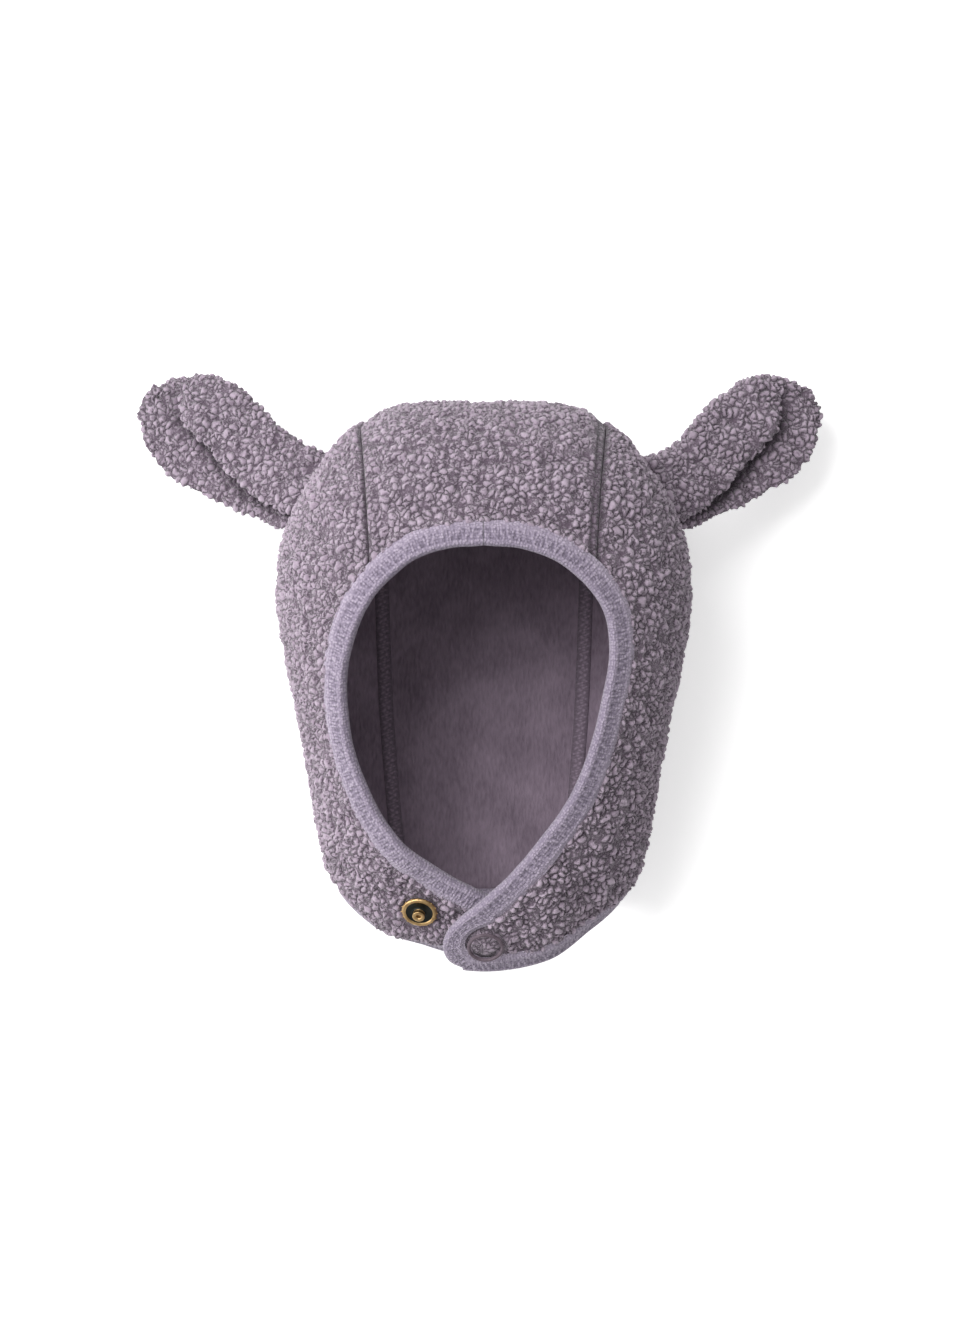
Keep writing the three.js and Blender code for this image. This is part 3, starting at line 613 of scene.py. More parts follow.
def pile_material():
    material, tree, shader = material_of("pile_fleece", 0.95, 0.35)
    shader.inputs["Sheen Roughness"].default_value = 0.5
    place = own_place(tree)
    tall = attribute_of(tree, "tall").outputs["Fac"]
    lit = attribute_of(tree, "lit").outputs["Fac"]
    # The yarn's edges are ragged, so each place in the cells is pushed about a little more.
    ragged = noise_of(tree, place, 0.0013, 3.0)
    push = tree.nodes.new("ShaderNodeVectorMath")
    push.operation = "MULTIPLY_ADD"
    tree.links.new(ragged.outputs["Color"], push.inputs[0])
    push.inputs[1].default_value = (RAGGED, RAGGED, RAGGED)
    tree.links.new(attribute_of(tree, "places").outputs["Vector"], push.inputs[2])
    centred = tree.nodes.new("ShaderNodeVectorMath")
    centred.operation = "SUBTRACT"
    tree.links.new(push.outputs["Vector"], centred.inputs[0])
    centred.inputs[1].default_value = (RAGGED / 2, RAGGED / 2, RAGGED / 2)
    cells = noise_of(tree, centred.outputs["Vector"], KNOB, kind="ShaderNodeTexVoronoi")
    edges = noise_of(tree, centred.outputs["Vector"], KNOB, kind="ShaderNodeTexVoronoi")
    edges.feature = "DISTANCE_TO_EDGE"
    # Painted light and shade: the knobs' tops are painted lighter and the gaps between them darker, which is
    # partly the yarn's own darker colour.
    gap = ranged(tree, edges.outputs["Distance"], 0.01, 0.17)
    round_top = ranged(tree, cells.outputs["Distance"], 0.85, 0.3)
    knob = sum_of(tree, "MULTIPLY", gap, sum_of(tree, "MULTIPLY_ADD", round_top, 0.42, 0.58))
    # Some knobs are rings of yarn with a dip in the middle, which is painted in shade.
    ring = ranged(tree, cells.outputs["Distance"], 0.26, 0.08)
    hue = tree.nodes.new("ShaderNodeSeparateColor")
    tree.links.new(cells.outputs["Color"], hue.inputs["Color"])
    ringed = sum_of(tree, "GREATER_THAN", hue.outputs["Red"], 0.6)
    dip = sum_of(tree, "MULTIPLY", ring, ringed)
    patch = noise_of(tree, place, 0.008, 3.0).outputs["Fac"]
    grain = noise_of(tree, place, 0.0005, 2.0).outputs["Fac"]
    tone = sum_of(tree, "MULTIPLY_ADD", knob, 0.42, -0.06)
    tone = sum_of(tree, "MULTIPLY_ADD", dip, -0.22, tone)
    tone = sum_of(tree, "MULTIPLY_ADD", tall, 0.1, tone)
    tone = sum_of(tree, "MULTIPLY_ADD", grain, 0.34, tone)
    tone = sum_of(tree, "MULTIPLY_ADD", patch, 0.2, tone)
    # lit adds the painted shade along the seams, round the press studs and in the ears' folds.
    tone = sum_of(tree, "MULTIPLY", tone, lit)
    coloured(tree, shader, tone, PILE_TONES)
    height = sum_of(tree, "MULTIPLY_ADD", dip, -0.5, sum_of(tree, "MULTIPLY_ADD", grain, 0.4, knob))
    bump_of(tree, shader, height, 0.0006)
    return material


LINING_TONES = [(0.2, (0.1, 0.075, 0.1)), (0.8, (0.28, 0.221, 0.277))]


def lining_material():
    material, tree, shader = material_of("brushed_lining", 0.95, 0.15)
    place = own_place(tree)
    stretch = tree.nodes.new("ShaderNodeMapping")
    stretch.inputs["Scale"].default_value = (900, 260, 500)
    tree.links.new(place, stretch.inputs["Vector"])
    streaks = noise_of(tree, stretch.outputs["Vector"], 1, 4.0).outputs["Fac"]
    patch = noise_of(tree, place, 0.02, 3.0).outputs["Fac"]
    tone = sum_of(tree, "MULTIPLY_ADD", patch, 0.6, sum_of(tree, "MULTIPLY", streaks, 0.5))
    coloured(tree, shader, tone, LINING_TONES)
    bump_of(tree, shader, streaks, 0.0006)
    return material


pile = pile_material()
lining = lining_material()
skins = []  # the panels' faces without pile, which the ears start from


def panel(name, sides, places, node, is_side_panel):
    """One panel of fleece: fine pile outside and smooth lining inside."""
    shape = places.shape[:2]
    turn, v = places[..., 0].ravel(), places[..., 1].ravel()
    points = np.empty((len(turn), 3))
    normals = np.empty((len(turn), 3))
    for side in (1, -1):
        own = sides == side
        if own.any():
            points[own] = on_hat(side, turn[own], v[own])
            normals[own] = slopes_of(on_hat, side, turn[own], v[own])[2]
    outer, values = raised(points, normals, sides, is_side_panel)
    inner = (points - normals * FLEECE).reshape(*shape, 3)[::4, ::4]
    skins.append(points.reshape(*shape, 3)[::2, ::2])
    points, faces, count = wall_mesh(outer.reshape(*shape, 3), inner)
    rest = len(points) - len(outer)
    for key, value in values.items():
        values[key] = np.concatenate([value, np.full((rest, *value.shape[1:]), 0.5)])
    slots = [0] * count + [1] * (len(faces) - count)
    piece = soft_piece(name, points, faces, [pile, lining], slots, values)
    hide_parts(node)
    return piece


for side, name in ((-1, "left"), (1, "right")):
    places = side_panel_places(side)
    sides = np.full(places.shape[0] * places.shape[1], side)
    piece = panel(f"pile_panel_{name}", sides, places, f"panel_{name}", True)
centre = centre_panel_places()
piece = panel("pile_panel_centre", centre[..., 0].ravel(), centre[..., 1:], "panel_centre", False)

# ---------------------------------------------------------------- the ears
# Each ear is a long lobe of the same fleece with pile on both faces. It is folded over lengthwise, so
# that a flap lies on the wider lower layer, and it is sewn to the side panel at its root.
# Rows from the root to the tip: fold (out, y), free edge (out, y), flap's share of the width, and height.
EARS = {
    -1: [
        (54, 84, 72, 58, 0.8, 52), (65, 91.5, 80, 61, 0.82, 50), (74, 95, 88, 62.5, 0.82, 47),
        (84.2, 101.6, 98.5, 67.4, 0.8, 42), (95.4, 112.4, 109.9, 72.4, 0.72, 37),
        (105, 120.6, 119.6, 77.4, 0.63, 33), (115, 125, 131, 83.6, 0.55, 30),
        (124.5, 126, 139.2, 90.8, 0.46, 27), (132.5, 125, 144.8, 99.8, 0.4, 25),
        (139, 121.5, 146.4, 107.6, 0.5, 23.5),
    ],
    1: [
        (54, 82, 72, 57, 0.84, 52), (66, 89, 79, 60, 0.88, 50), (74.5, 92, 87, 62, 0.88, 46),
        (83.4, 98.6, 97, 66.4, 0.84, 42), (92.4, 110, 107.6, 71.6, 0.76, 38),
        (101, 117.2, 117.6, 77.4, 0.68, 34), (110.6, 124, 128, 83, 0.6, 31),
        (120, 125.6, 136, 90, 0.5, 28), (128.8, 124.8, 141.4, 98.8, 0.42, 26),
        (135.6, 121, 142.8, 106.6, 0.5, 24.5),
    ],
}
EAR_FLEECE = 4.6
EAR_GAP = 0.7
FLAP_RISE = 2.0  # of the flap's free edge off the lower layer
EAR_ROWS = 150
EAR_ROUND = 330
TIP_ANGLES = (0.35, 0.75, 1.15, 1.45)
ROOT_SINK = 0.8  # of the root into the side panel's pile
CREASE_SHADE = 0.9  # depth of the crease in the flap's shade


def ear_sections(width, flap_width, folded):
    """Sections with points along from the fold and up from its middle, and how far up the flap each is.

    Where folded falls from 1 to 0, the flap runs out into the single lower layer."""
    r = EAR_FLEECE + EAR_GAP / 2
    g = EAR_GAP / 2
    t = EAR_FLEECE
    flap = np.maximum(r + 2.6, flap_width)
    lower = np.maximum(flap + 1, width)
    one = np.ones_like(width)
    corners = [
        (r * one, -r), (0.3 * r * one, -0.72 * r), (0 * one, 0), (0.3 * r * one, 0.72 * r), (r * one, r),
        (0.5 * (r + flap - 2), r * 1.12), (flap - 2, r), (flap, r - t / 2), (flap - 2, g), (r * one, g),
        ((r - g) * one, 0), (r * one, -g), (lower - 2, -g), (lower, -r + t / 2), (lower - 2, -r),
        (0.5 * (r + lower - 2), -r),
    ]
    single = [
        (r, -r), (0.28 * r, -0.9 * r), (0.1, -0.5 * r), (0.25 * r, -0.12 * r), (0.5 * r, -g), (0.65 * r, -g),
        (0.8 * r, -g), (r, -g), (1.15 * r, -g), (1.3 * r, -g), (1.45 * r, -g), (1.6 * r, -g),
    ]
    single = [(a * one, b) for a, b in single] + corners[12:]
    folded_points = np.stack([np.stack([a, b * one], -1) for a, b in corners], 1)
    single_points = np.stack([np.stack([a, b * one], -1) for a, b in single], 1)
    points = single_points + (folded_points - single_points) * folded[:, None, None]
    size = len(corners)
    middle = points[len(points) // 2]
    lengths = np.linalg.norm(np.roll(middle, -1, 0) - middle, axis=1)
    counts = np.maximum(4, np.round(lengths / lengths.sum() * EAR_ROUND)).astype(int)
    found = []
    for ring, flap_end, share in zip(points, flap, folded):
        curve = []
        for k, count in enumerate(counts):
            t = np.linspace(0, 1, count, endpoint=False)[:, None]
            a, b, c, d = (ring[(k + n) % size] for n in (-1, 0, 1, 2))
            m1, m2 = (c - a) / 2, (d - b) / 2
            curve.append(b + t * m1 + t**2 * (3 * (c - b) - 2 * m1 - m2) + t**3 * (2 * (b - c) + m1 + m2))
        ring = np.vstack(curve)
        slope = np.roll(ring, -1, 0) - np.roll(ring, 1, 0)
        outward = np.stack([slope[:, 1], -slope[:, 0]], -1)
        area = np.sum(ring[:, 0] * np.roll(ring[:, 1], -1) - np.roll(ring[:, 0], -1) * ring[:, 1])
        outward = outward / (np.linalg.norm(outward, axis=1, keepdims=True) + 1e-9) * np.sign(area)
        up_flap = smoothstep(0.35 * flap_end, flap_end, ring[:, 0]) * (ring[:, 1] > 0) * share
        found.append((ring, outward, up_flap))
    return found


def tube_faces(rings):
    """Faces of a tube through rings of points, closed at both ends."""
    o = numbered(rings)
    nxt = np.roll(o, -1, 1)
    faces = np.stack([o[:-1], o[1:], nxt[1:], nxt[:-1]], -1).reshape(-1, 4).tolist()
    return faces + [o[0].tolist(), o[-1][::-1].tolist()]


def started_at_hat(rings):
    """Rings of an ear whose lines along it start where they come out of the hat."""
    tail = len(TIP_ANGLES)
    for column in range(rings.shape[1]):
        line = rings[:, column]
        for row in range(len(line) - 1, 0, -1):
            step = line[row - 1] - line[row]
            length = np.linalg.norm(step)
            hit = hat_tree.ray_cast(Vector(line[row]), Vector(step / length), length)
            if hit[0] is not None:
                start = np.array(hit[0]) + step / length * ROOT_SINK
                kept = np.vstack([start, line[row:]])
                rings[:-tail, column] = resampled(kept[:-tail], np.linspace(0, 1, EAR_ROWS))
                break
    return rings


def ear(side, name):
    """One ear: its folded rings from the root to the rounded tip, with the pile on them."""
    table = np.array(EARS[side], float)
    before = 2 * table[0] - table[1]
    stations = np.linspace(0, len(table) - 1, 60)
    rows = along_rows(table, before, stations)
    middle = (rows[:, :2] + rows[:, 2:4]) / 2
    both = resampled(np.hstack([middle, stations[:, None]]), np.linspace(0, 1, EAR_ROWS))
    rows = along_rows(table, before, both[:, 2])
    fold = np.stack([side * rows[:, 0], rows[:, 1], rows[:, 5]], -1)
    across = np.stack([side * rows[:, 2], rows[:, 3], rows[:, 5]], -1) - fold
    width = np.linalg.norm(across, axis=1)
    across = across / width[:, None]
    folded = 1 - smoothstep(EAR_ROWS - 34, EAR_ROWS - 8, np.arange(EAR_ROWS))
    sections = ear_sections(width, rows[:, 4] * width, folded)
    rise = np.interp(np.arange(EAR_ROWS), [0, 30, 70, 135, EAR_ROWS - 1], [0, 0.4, 1, 1, 0.3]) * FLAP_RISE

    def ring_at(row, shrink=0.0, ahead=0.0):
        ring, outward, flap = sections[row]
        ring = ring - outward * shrink
        up = ring[:, 1] + flap * rise[row]
        forward = np.cross([0, 0, 1.0], across[row]) * side
        place = fold[row] + across[row] * ring[:, :1] + np.array([0, 0, 1.0]) * up[:, None]
        return place - forward * ahead if forward[0] * side < 0 else place + forward * ahead

    rings = [ring_at(row) for row in range(EAR_ROWS)]
    half = EAR_FLEECE / 2
    rings += [ring_at(EAR_ROWS - 1, half * (1 - math.cos(a)), half * math.sin(a)) for a in TIP_ANGLES]
    rings = started_at_hat(np.array(rings))
    count, round_count = rings.shape[:2]
    # The normals come from the plain shape, before the pile is added.
    around = np.roll(rings, -1, 1) - np.roll(rings, 1, 1)
    along = np.gradient(rings, axis=0)
    normals = np.cross(around, along)
    normals /= np.linalg.norm(normals, axis=-1, keepdims=True) + 1e-9
    probe = rings[count // 2]
    if np.sum((probe - probe.mean(0)) * normals[count // 2]) < 0:
        normals = -normals
    points = rings.reshape(-1, 3)
    places, tall, height = knobs(points)
    sewn = np.repeat(smoothstep(0, 6, np.arange(count)), round_count)
    tight, shade = [], []
    for row in range(count):
        row = min(row, EAR_ROWS - 1)
        hidden, shaded = fold_values(sections[row][0], max(7.6, rows[row, 4] * width[row]))
        tight.append(hidden * folded[row])
        shade.append(shaded * folded[row])
    tight, shade = np.concatenate(tight), np.concatenate(shade)
    height = height * (1 - 0.85 * tight) * (0.4 + 0.6 * sewn) - CREASE_SHADE * shade
    points = points + normals.reshape(-1, 3) * height[:, None]
    # Painted shade inside the fold and on the lower layer along the flap's free edge.
    lit = 0.98 - 0.72 * np.maximum(tight, shade)
    faces = tube_faces(rings)
    values = {"places": places, "tall": tall, "lit": lit}
    piece = soft_piece(f"ear_fleece_{name}", points, faces, [pile], [0] * len(faces), values)
    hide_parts(f"ear_{name}")
    return piece


def fold_values(ring, flap):
    """How far each point of a folded section is pressed inside the fold, and how far in the flap's shade."""
    r = EAR_FLEECE + EAR_GAP / 2
    between = np.abs(ring[:, 1]) < 0.45 * r
    under_flap = 1 - smoothstep(flap - 3.0, flap + 0.5, ring[:, 0])
    hidden = between * under_flap * smoothstep(r - 2.5, r, ring[:, 0])
    below = between & (ring[:, 1] < 0)
    shaded = below * np.clip(1 - np.abs(ring[:, 0] - flap + 0.5) / 5.0, 0, 1)
    return hidden, shaded


grid_points = []
grid_faces = []
for skin in skins:
    number = numbered(skin, sum(len(p) for p in grid_points))
    grid_points.append(skin.reshape(-1, 3))
    quads = np.stack([number[:-1, :-1], number[1:, :-1], number[1:, 1:], number[:-1, 1:]], -1)
    grid_faces += quads.reshape(-1, 4).tolist()
hat_tree = bvhtree.BVHTree.FromPolygons(np.vstack(grid_points).tolist(), grid_faces)
for side, name in ((-1, "left"), (1, "right")):
    piece = ear(side, name)

# ---------------------------------------------------------------- the binding
# A knitted band is folded over the whole free edge: round the face, both chin tabs and the hem. Its
# outer face shows a smooth fold, then stitches in short Vs, then plain knitting up to the pile.
BINDING_WALL = 0.9
BINDING_CLEARANCE = 0.6
BINDING_STEP = 0.5
STITCH = {
    "pitch": 3.0, "from": 1.3, "to": 5.6, "spread": 1.1, "height": 0.4, "small": 1.5,
    "low_row": 1.2, "high_row": 6.9,
}
CAP_CLEAR = 8.3  # of the band from the middle of the cap ring
# The rows of the band's outer face, as distances in from its fold.
BINDING_TOP = [
    9.6, 9.2, 8.7, 8.2, 7.6, 7.0, 6.5, 6.0, 5.5, 5.0, 4.5, 4.0, 3.5, 3.0, 2.5, 2.0, 1.5, 1.0, 0.5, 0.0,
]


def knitted(s, into):
    """Height of the stitches at s along the band and into it from the fold, in mm, and how lit it is, with
    painted shade between the ridges, along the rows and next to the fold.
    """
    pitch = STITCH["pitch"]
    uneven = 0.35 * np.sin(s * 0.83) + 0.3 * np.sin(s * 2.17 + 1.0)
    phase = ((s + uneven) / pitch) % 1 - 0.5
    share = np.clip((into - STITCH["from"]) / (STITCH["to"] - STITCH["from"]), 0, 1)
    arm = np.abs(np.abs(phase) * pitch - STITCH["spread"] * (0.25 + 0.75 * share))
    ridge = np.exp(-((arm / 0.42) ** 2))
    zone = smoothstep(STITCH["from"] - 0.7, STITCH["from"] + 0.3, into)
    zone = zone * (1 - smoothstep(STITCH["to"] - 0.3, STITCH["to"] + 0.6, into))
    small = 0.5 + 0.5 * np.sin(2 * np.pi * s / STITCH["small"])
    from_low, from_high = into - STITCH["low_row"], into - STITCH["high_row"]
    low_row = np.exp(-((from_low / 0.45) ** 2)) * small
    high_row = np.exp(-((from_high / 0.5) ** 2)) * small
    rib = 0.5 + 0.5 * np.sin(2 * np.pi * s / 0.825 + 1.3 * np.sin(into * 2.1))
    height = STITCH["height"] * zone * (ridge - 0.6) + 0.16 * low_row + 0.14 * high_row
    height = height + 0.05 * rib * (into > 2)
    # Painted shade between the ridges of the Vs, between the small stitches of both rows, and next to the
    # fold.
    lit = 1 - 0.5 * zone * (1 - ridge) - 0.35 * (1 - small) * np.exp(-((from_low / 0.5) ** 2))
    lit = lit - 0.22 * (1 - small) * np.exp(-((from_high / 0.5) ** 2)) - 0.12 * (into < 0.8)
    return height, lit


def band_loop():
    """Side, turn, station and point round the whole free edge, evenly spaced."""
    halves = {side: edge_loop_places(side) for side in (1, -1)}
    sides = np.concatenate([np.full(len(halves[1]), 1), np.full(len(halves[-1]), -1)])
    places = np.vstack([halves[1], halves[-1][::-1]])
    points = np.empty((len(places), 3))
    for side in (1, -1):
        points[sides == side] = on_hat(side, *places[sides == side].T)
    whole = np.hstack([points, places, sides[:, None]])
    found = []
    for side in (1, -1):
        part = whole[sides == side]
        count = round(length_of(part[:, :3]) / BINDING_STEP)
        found.append(resampled(part, np.linspace(0, 1, count + 1)[:-1], 3))
    loop = np.vstack(found)
    return loop[:, 5].round().astype(int), loop[:, 3], loop[:, 4], loop[:, :3]


def band():
    """Rings of points across the folded band, the painted light and shade on each, and its place in the
    knitting.
    """
    side, turn, v, points = band_loop()
    v = np.minimum(v, LAST)
    reach = 4
    along = unit(np.roll(points, -reach, 0) - np.roll(points, reach, 0))
    halves = [slopes_of(on_hat, one, turn[side == one], v[side == one]) for one in (1, -1)]
    along_turn, along_v, normal = (merged(side, *both) for both in zip(*halves))
    inward = unit(np.cross(normal, along))
    # A millimetre inwards along the cloth is this step in turn and this one in station.
    uu, uv, vv = dot(along_turn, along_turn), dot(along_turn, along_v), dot(along_v, along_v)
    iu, iv = dot(inward, along_turn), dot(inward, along_v)
    det = uu * vv - uv * uv
    turn_step, v_step = (iu * vv - iv * uv) / det, (iv * uu - iu * uv) / det
    s = np.concatenate([[0], np.cumsum(np.linalg.norm(np.diff(points, axis=0), axis=1))])
    s = s * (round(s[-1] / STITCH["pitch"]) * STITCH["pitch"] / s[-1])
    clear, wall = BINDING_CLEARANCE, BINDING_WALL
    top = clear + wall
    foot = -FLEECE - top
    middle = -FLEECE / 2
    section = []
    for into in BINDING_TOP:
        section.append((into, top - 0.25 - 0.85 * float(smoothstep(6.6, 9.4, into)), "top"))
    for angle in np.linspace(0, math.pi, 9)[1:-1]:
        section.append((-top * math.sin(angle), middle + (top - 0.25 - middle) * math.cos(angle), "fold"))
    for into in (0.0, 3.0, 6.0, 9.5):
        section.append((into, foot + 0.1, "foot"))
    channel = (
        (9.5, foot + wall), (4.0, foot + wall), (-clear, foot + wall), (-clear, clear - 0.35),
        (4.0, clear - 0.35), (9.3, 0.2),
    )
    for into, above in channel:
        section.append((into, above, "inside"))
    rings = np.empty((len(points), len(section), 3))
    lits = np.ones((len(points), len(section)))
    from_cap = np.where(side > 0, np.linalg.norm(points - seat_of(CAP)[0], axis=1), 99)
    narrowed = np.clip((from_cap - CAP_CLEAR) / BINDING_TOP[0], 0.3, 1)
    for column, (into, above, kind) in enumerate(section):
        a = max(0.0, into) * narrowed
        t, w = turn + a * turn_step, np.minimum(LAST, v + a * v_step)
        place = merged(side, *(on_hat(one, t[side == one], w[side == one]) for one in (1, -1)))
        up = merged(side, *(slopes_of(on_hat, one, t[side == one], w[side == one])[2] for one in (1, -1)))
        height = np.full(len(points), float(above))
        if kind == "top":
            stitches, lits[:, column] = knitted(s, np.full_like(s, into))
            height = height + stitches
        elif kind == "fold":
            # Painted shade on the fold round the edge.
            lits[:, column] = 0.8
        wave = 0.22 * (swell(points, 5, 70) - 0.5) if kind == "fold" else 0
        shift = np.asarray(min(0.0, into) + wave)[..., None]
        rings[:, column] = place + up * height[:, None] + inward * shift
    across = np.linalg.norm(np.diff(rings, axis=1), axis=2).mean(0)
    across = np.broadcast_to(np.concatenate([[0], np.cumsum(across)]), lits.shape)
    stitch = np.stack([np.broadcast_to(s[:, None], lits.shape), across, 0 * across], -1)
    return rings, lits, stitch


def merged(side, right, left):
    """Values for the right and for the left half, put back in the loop's order."""
    found = np.empty((len(side), *right.shape[1:]))
    found[side > 0] = right
    found[side < 0] = left
    return found


KNIT_TONES = [(0.0, (0.06, 0.048, 0.072)), (0.45, (0.215, 0.18, 0.243)), (1.0, (0.46, 0.395, 0.49))]


def knit_material():
    material, tree, shader = material_of("knitted_binding", 0.9, 0.25)
    place = own_place(tree)
    lit = attribute_of(tree, "lit").outputs["Fac"]
    # Fine loops of yarn cover the band in staggered rows.
    stitch = attribute_of(tree, "stitch").outputs["Vector"]
    loops = noise_of(tree, stitch, 1.25, kind="ShaderNodeTexVoronoi")
    loops.inputs["Randomness"].default_value = 0.55
    loops = ranged(tree, loops.outputs["Distance"], 0.72, 0.2)
    grain = noise_of(tree, place, 0.0007, 2.0).outputs["Fac"]
    grain = sum_of(tree, "MULTIPLY_ADD", grain, 0.7, sum_of(tree, "MULTIPLY_ADD", loops, 0.6, -0.15))
    patch = noise_of(tree, place, 0.012, 2.0).outputs["Fac"]
    # lit brings the painted shade between the stitches and on the fold.
    tone = sum_of(tree, "MULTIPLY_ADD", grain, 0.5, sum_of(tree, "MULTIPLY_ADD", lit, 0.7, -0.33))
    tone = sum_of(tree, "MULTIPLY_ADD", patch, 0.2, tone)
    coloured(tree, shader, tone, KNIT_TONES)
    bump_of(tree, shader, grain, 0.0005)
    return material


knit = knit_material()
rings, lits, stitch = band()
o = numbered(rings)
nxt, up = np.roll(o, -1, 0), np.roll(o, -1, 1)
faces = np.stack([o, nxt, np.roll(nxt, -1, 1), up], -1).reshape(-1, 4).tolist()
piece = soft_piece("binding_knit", rings.reshape(-1, 3), faces, [knit], [0] * len(faces), {
    "lit": lits.ravel(), "stitch": stitch.reshape(-1, 3),
})
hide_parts("binding")

# ---------------------------------------------------------------- the seam tapes
# Inside the hat a soft tape covers each seam, from the forehead over the crown and down to the nape. A
# zigzag thread holds it.
TAPE = {"half": 3.1, "above": 0.15, "thick": 0.5, "step": 0.6, "zigzag": 2.6, "thread": 0.35}


def seam_tape(side, name):
    line = seam_line(side)
    points = on_hat(side, *line.T)
    length = length_of(points)
    count = int(length / TAPE["step"])
    rows = resampled(np.hstack([points, line]), np.linspace(0.012, 0.985, count), 3)
    turn, v = rows[:, 3], rows[:, 4]
    _, _, normal = slopes_of(on_hat, side, turn, v)
    across = np.cross(normal, unit(np.gradient(rows[:, :3], axis=0)))
    shares = np.linspace(-1, 1, 13)
    s = np.arange(count) * TAPE["step"]
    zig = 2 * np.abs((s / TAPE["zigzag"]) % 1 - 0.5) * 2 - 1
    rings = []
    lits = []
    for share in shares:
        place = rows[:, :3] + across * share * TAPE["half"]
        near = np.exp(-(((share - 0.6 * zig) * TAPE["half"] / 0.5) ** 2))
        depth = FLEECE + TAPE["above"] + TAPE["thick"] * (1 - share**4) + TAPE["thread"] * near
        rings.append(place - normal * depth[:, None])
        # Painted light and shade: the tape darkens towards its edges, where it curves down, and the raised
        # zigzag thread is painted lighter.
        lits.append(0.35 + 0.3 * (1 - abs(share)) + 0.9 * near)
    for share in shares[::-1]:
        rings.append(rows[:, :3] + across * share * TAPE["half"] - normal * (FLEECE + TAPE["above"] - 0.05))
        lits.append(np.full(count, 0.6))
    rings = np.array(rings).transpose(1, 0, 2)
    lits = np.array(lits).T
    faces = tube_faces(rings)
    values = {"lit": lits.ravel()}
    piece = soft_piece(f"seam_tape_{name}", rings.reshape(-1, 3), faces, [tape], [0] * len(faces), values)
    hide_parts(f"panel_{name}")


TAPE_TONES = [(0.1, (0.04, 0.031, 0.04)), (1.0, (0.38, 0.3, 0.38))]


def tape_material():
    material, tree, shader = material_of("seam_tape", 0.9, 0.1)
    place = own_place(tree)
    lit = attribute_of(tree, "lit").outputs["Fac"]
    grain = noise_of(tree, place, 0.0009, 2.0).outputs["Fac"]
    # lit brings the tape's painted light and shade.
    tone = sum_of(tree, "MULTIPLY_ADD", grain, 0.4, sum_of(tree, "MULTIPLY", lit, 0.4))
    coloured(tree, shader, tone, TAPE_TONES)
    bump_of(tree, shader, grain, 0.0003)
    return material


tape = tape_material()
for side, name in ((-1, "left"), (1, "right")):
    seam_tape(side, name)

# ---------------------------------------------------------------- the press studs
# The open half on the left tab is an antique brass ring with small prongs round its rim, a dark dish and
# a hollow post. It and the other pieces are turned from sheet metal.
OPEN_STUD = {
    "lift": 1.2, "prongs": 16, "prong": 0.42, "rim": 7.25, "rim_height": 0.95, "dish": 5.7, "dish_top": 1.9,
    "profile": [
        (0.4, 0), (7.1, 0), (7.45, 0.35), (7.5, 0.75), (7.3, 1.25), (6.85, 1.6), (6.3, 1.7), (5.95, 1.55),
        (5.7, 1.25), (5.5, 1.12), (3.4, 1.12), (2.9, 1.25), (2.5, 1.7), (2.35, 2.4), (2.4, 3.0), (2.6, 3.25),
        (2.62, 3.6), (2.45, 3.85), (2.1, 3.95), (1.5, 3.9), (1.1, 3.7), (0.95, 3.2), (0.85, 2.5), (0.3, 2.4),
    ],
}
SHUT_STUD = {"side": -1, "out": 0.5, "y": -110.4, "lift": 1.85, "radius": 5.8, "thick": 1.2}
CAP_RING = {"lift": 2.0, "radius": 7.0, "wire": 0.78}
BRASS_TONES = [(0.3, (0.28, 0.175, 0.08)), (0.7, (0.56, 0.38, 0.18))]
ENAMEL_TONES = [(0.3, (0.075, 0.055, 0.07)), (0.75, (0.15, 0.115, 0.14))]


def turned(name, profile, count=72):
    """A turned piece, drawn out ring by ring along its profile of radius and height in millimetres."""
    bpy.ops.object.select_all(action="DESELECT")
    radius, height = profile[0]
    bpy.ops.mesh.primitive_circle_add(
        vertices=count, radius=radius * MM, location=(0, 0, 0), fill_type="NOTHING"
    )
    piece = bpy.context.object
    piece.name = name
    bpy.ops.object.mode_set(mode="EDIT")
    bpy.ops.mesh.select_all(action="SELECT")
    for next_radius, next_height in profile[1:]:
        rise = (next_height - height) * MM
        bpy.ops.mesh.extrude_edges_move(TRANSFORM_OT_translate={"value": (0, 0, rise)})
        share = next_radius / radius
        bpy.ops.transform.resize(value=(share, share, 1), center_override=(0, 0, next_height * MM))
        radius, height = next_radius, next_height
    bpy.ops.mesh.select_all(action="SELECT")
    bpy.ops.mesh.fill_holes(sides=0)
    bpy.ops.mesh.select_all(action="SELECT")
    bpy.ops.mesh.normals_make_consistent(inside=False)
    bpy.ops.object.mode_set(mode="OBJECT")
    bpy.ops.object.shade_smooth_by_angle(angle=math.radians(50))
    return piece


def set_on_cloth(piece, place, lift, material, node):
    """Moves a turned piece's mesh onto the cloth, with its axis along the cloth's normal."""
    centre, normal = seat_of(place)
    turn = Vector((0, 0, 1)).rotation_difference(Vector(normal)).to_matrix().to_4x4()
    turn.translation = Vector((centre + normal * lift + PLACE) * MM)
    piece.data.transform(turn)
    piece.data.materials.clear()
    piece.data.materials.append(material)
    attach(piece, "root")
    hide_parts(node)


def brass_material():
    material, tree, shader = material_of("antique_brass", 0.38)
    shader.inputs["Metallic"].default_value = 1
    place = own_place(tree)
    worn = noise_of(tree, place, 0.0022, 4.0).outputs["Fac"]
    coloured(tree, shader, worn, BRASS_TONES)
    return material


def dark_brass_material():
    material, tree, shader = material_of("dark_brass", 0.42)
    shader.inputs["Metallic"].default_value = 0.8
    shader.inputs["Base Color"].default_value = (0.018, 0.02, 0.018, 1)
    return material


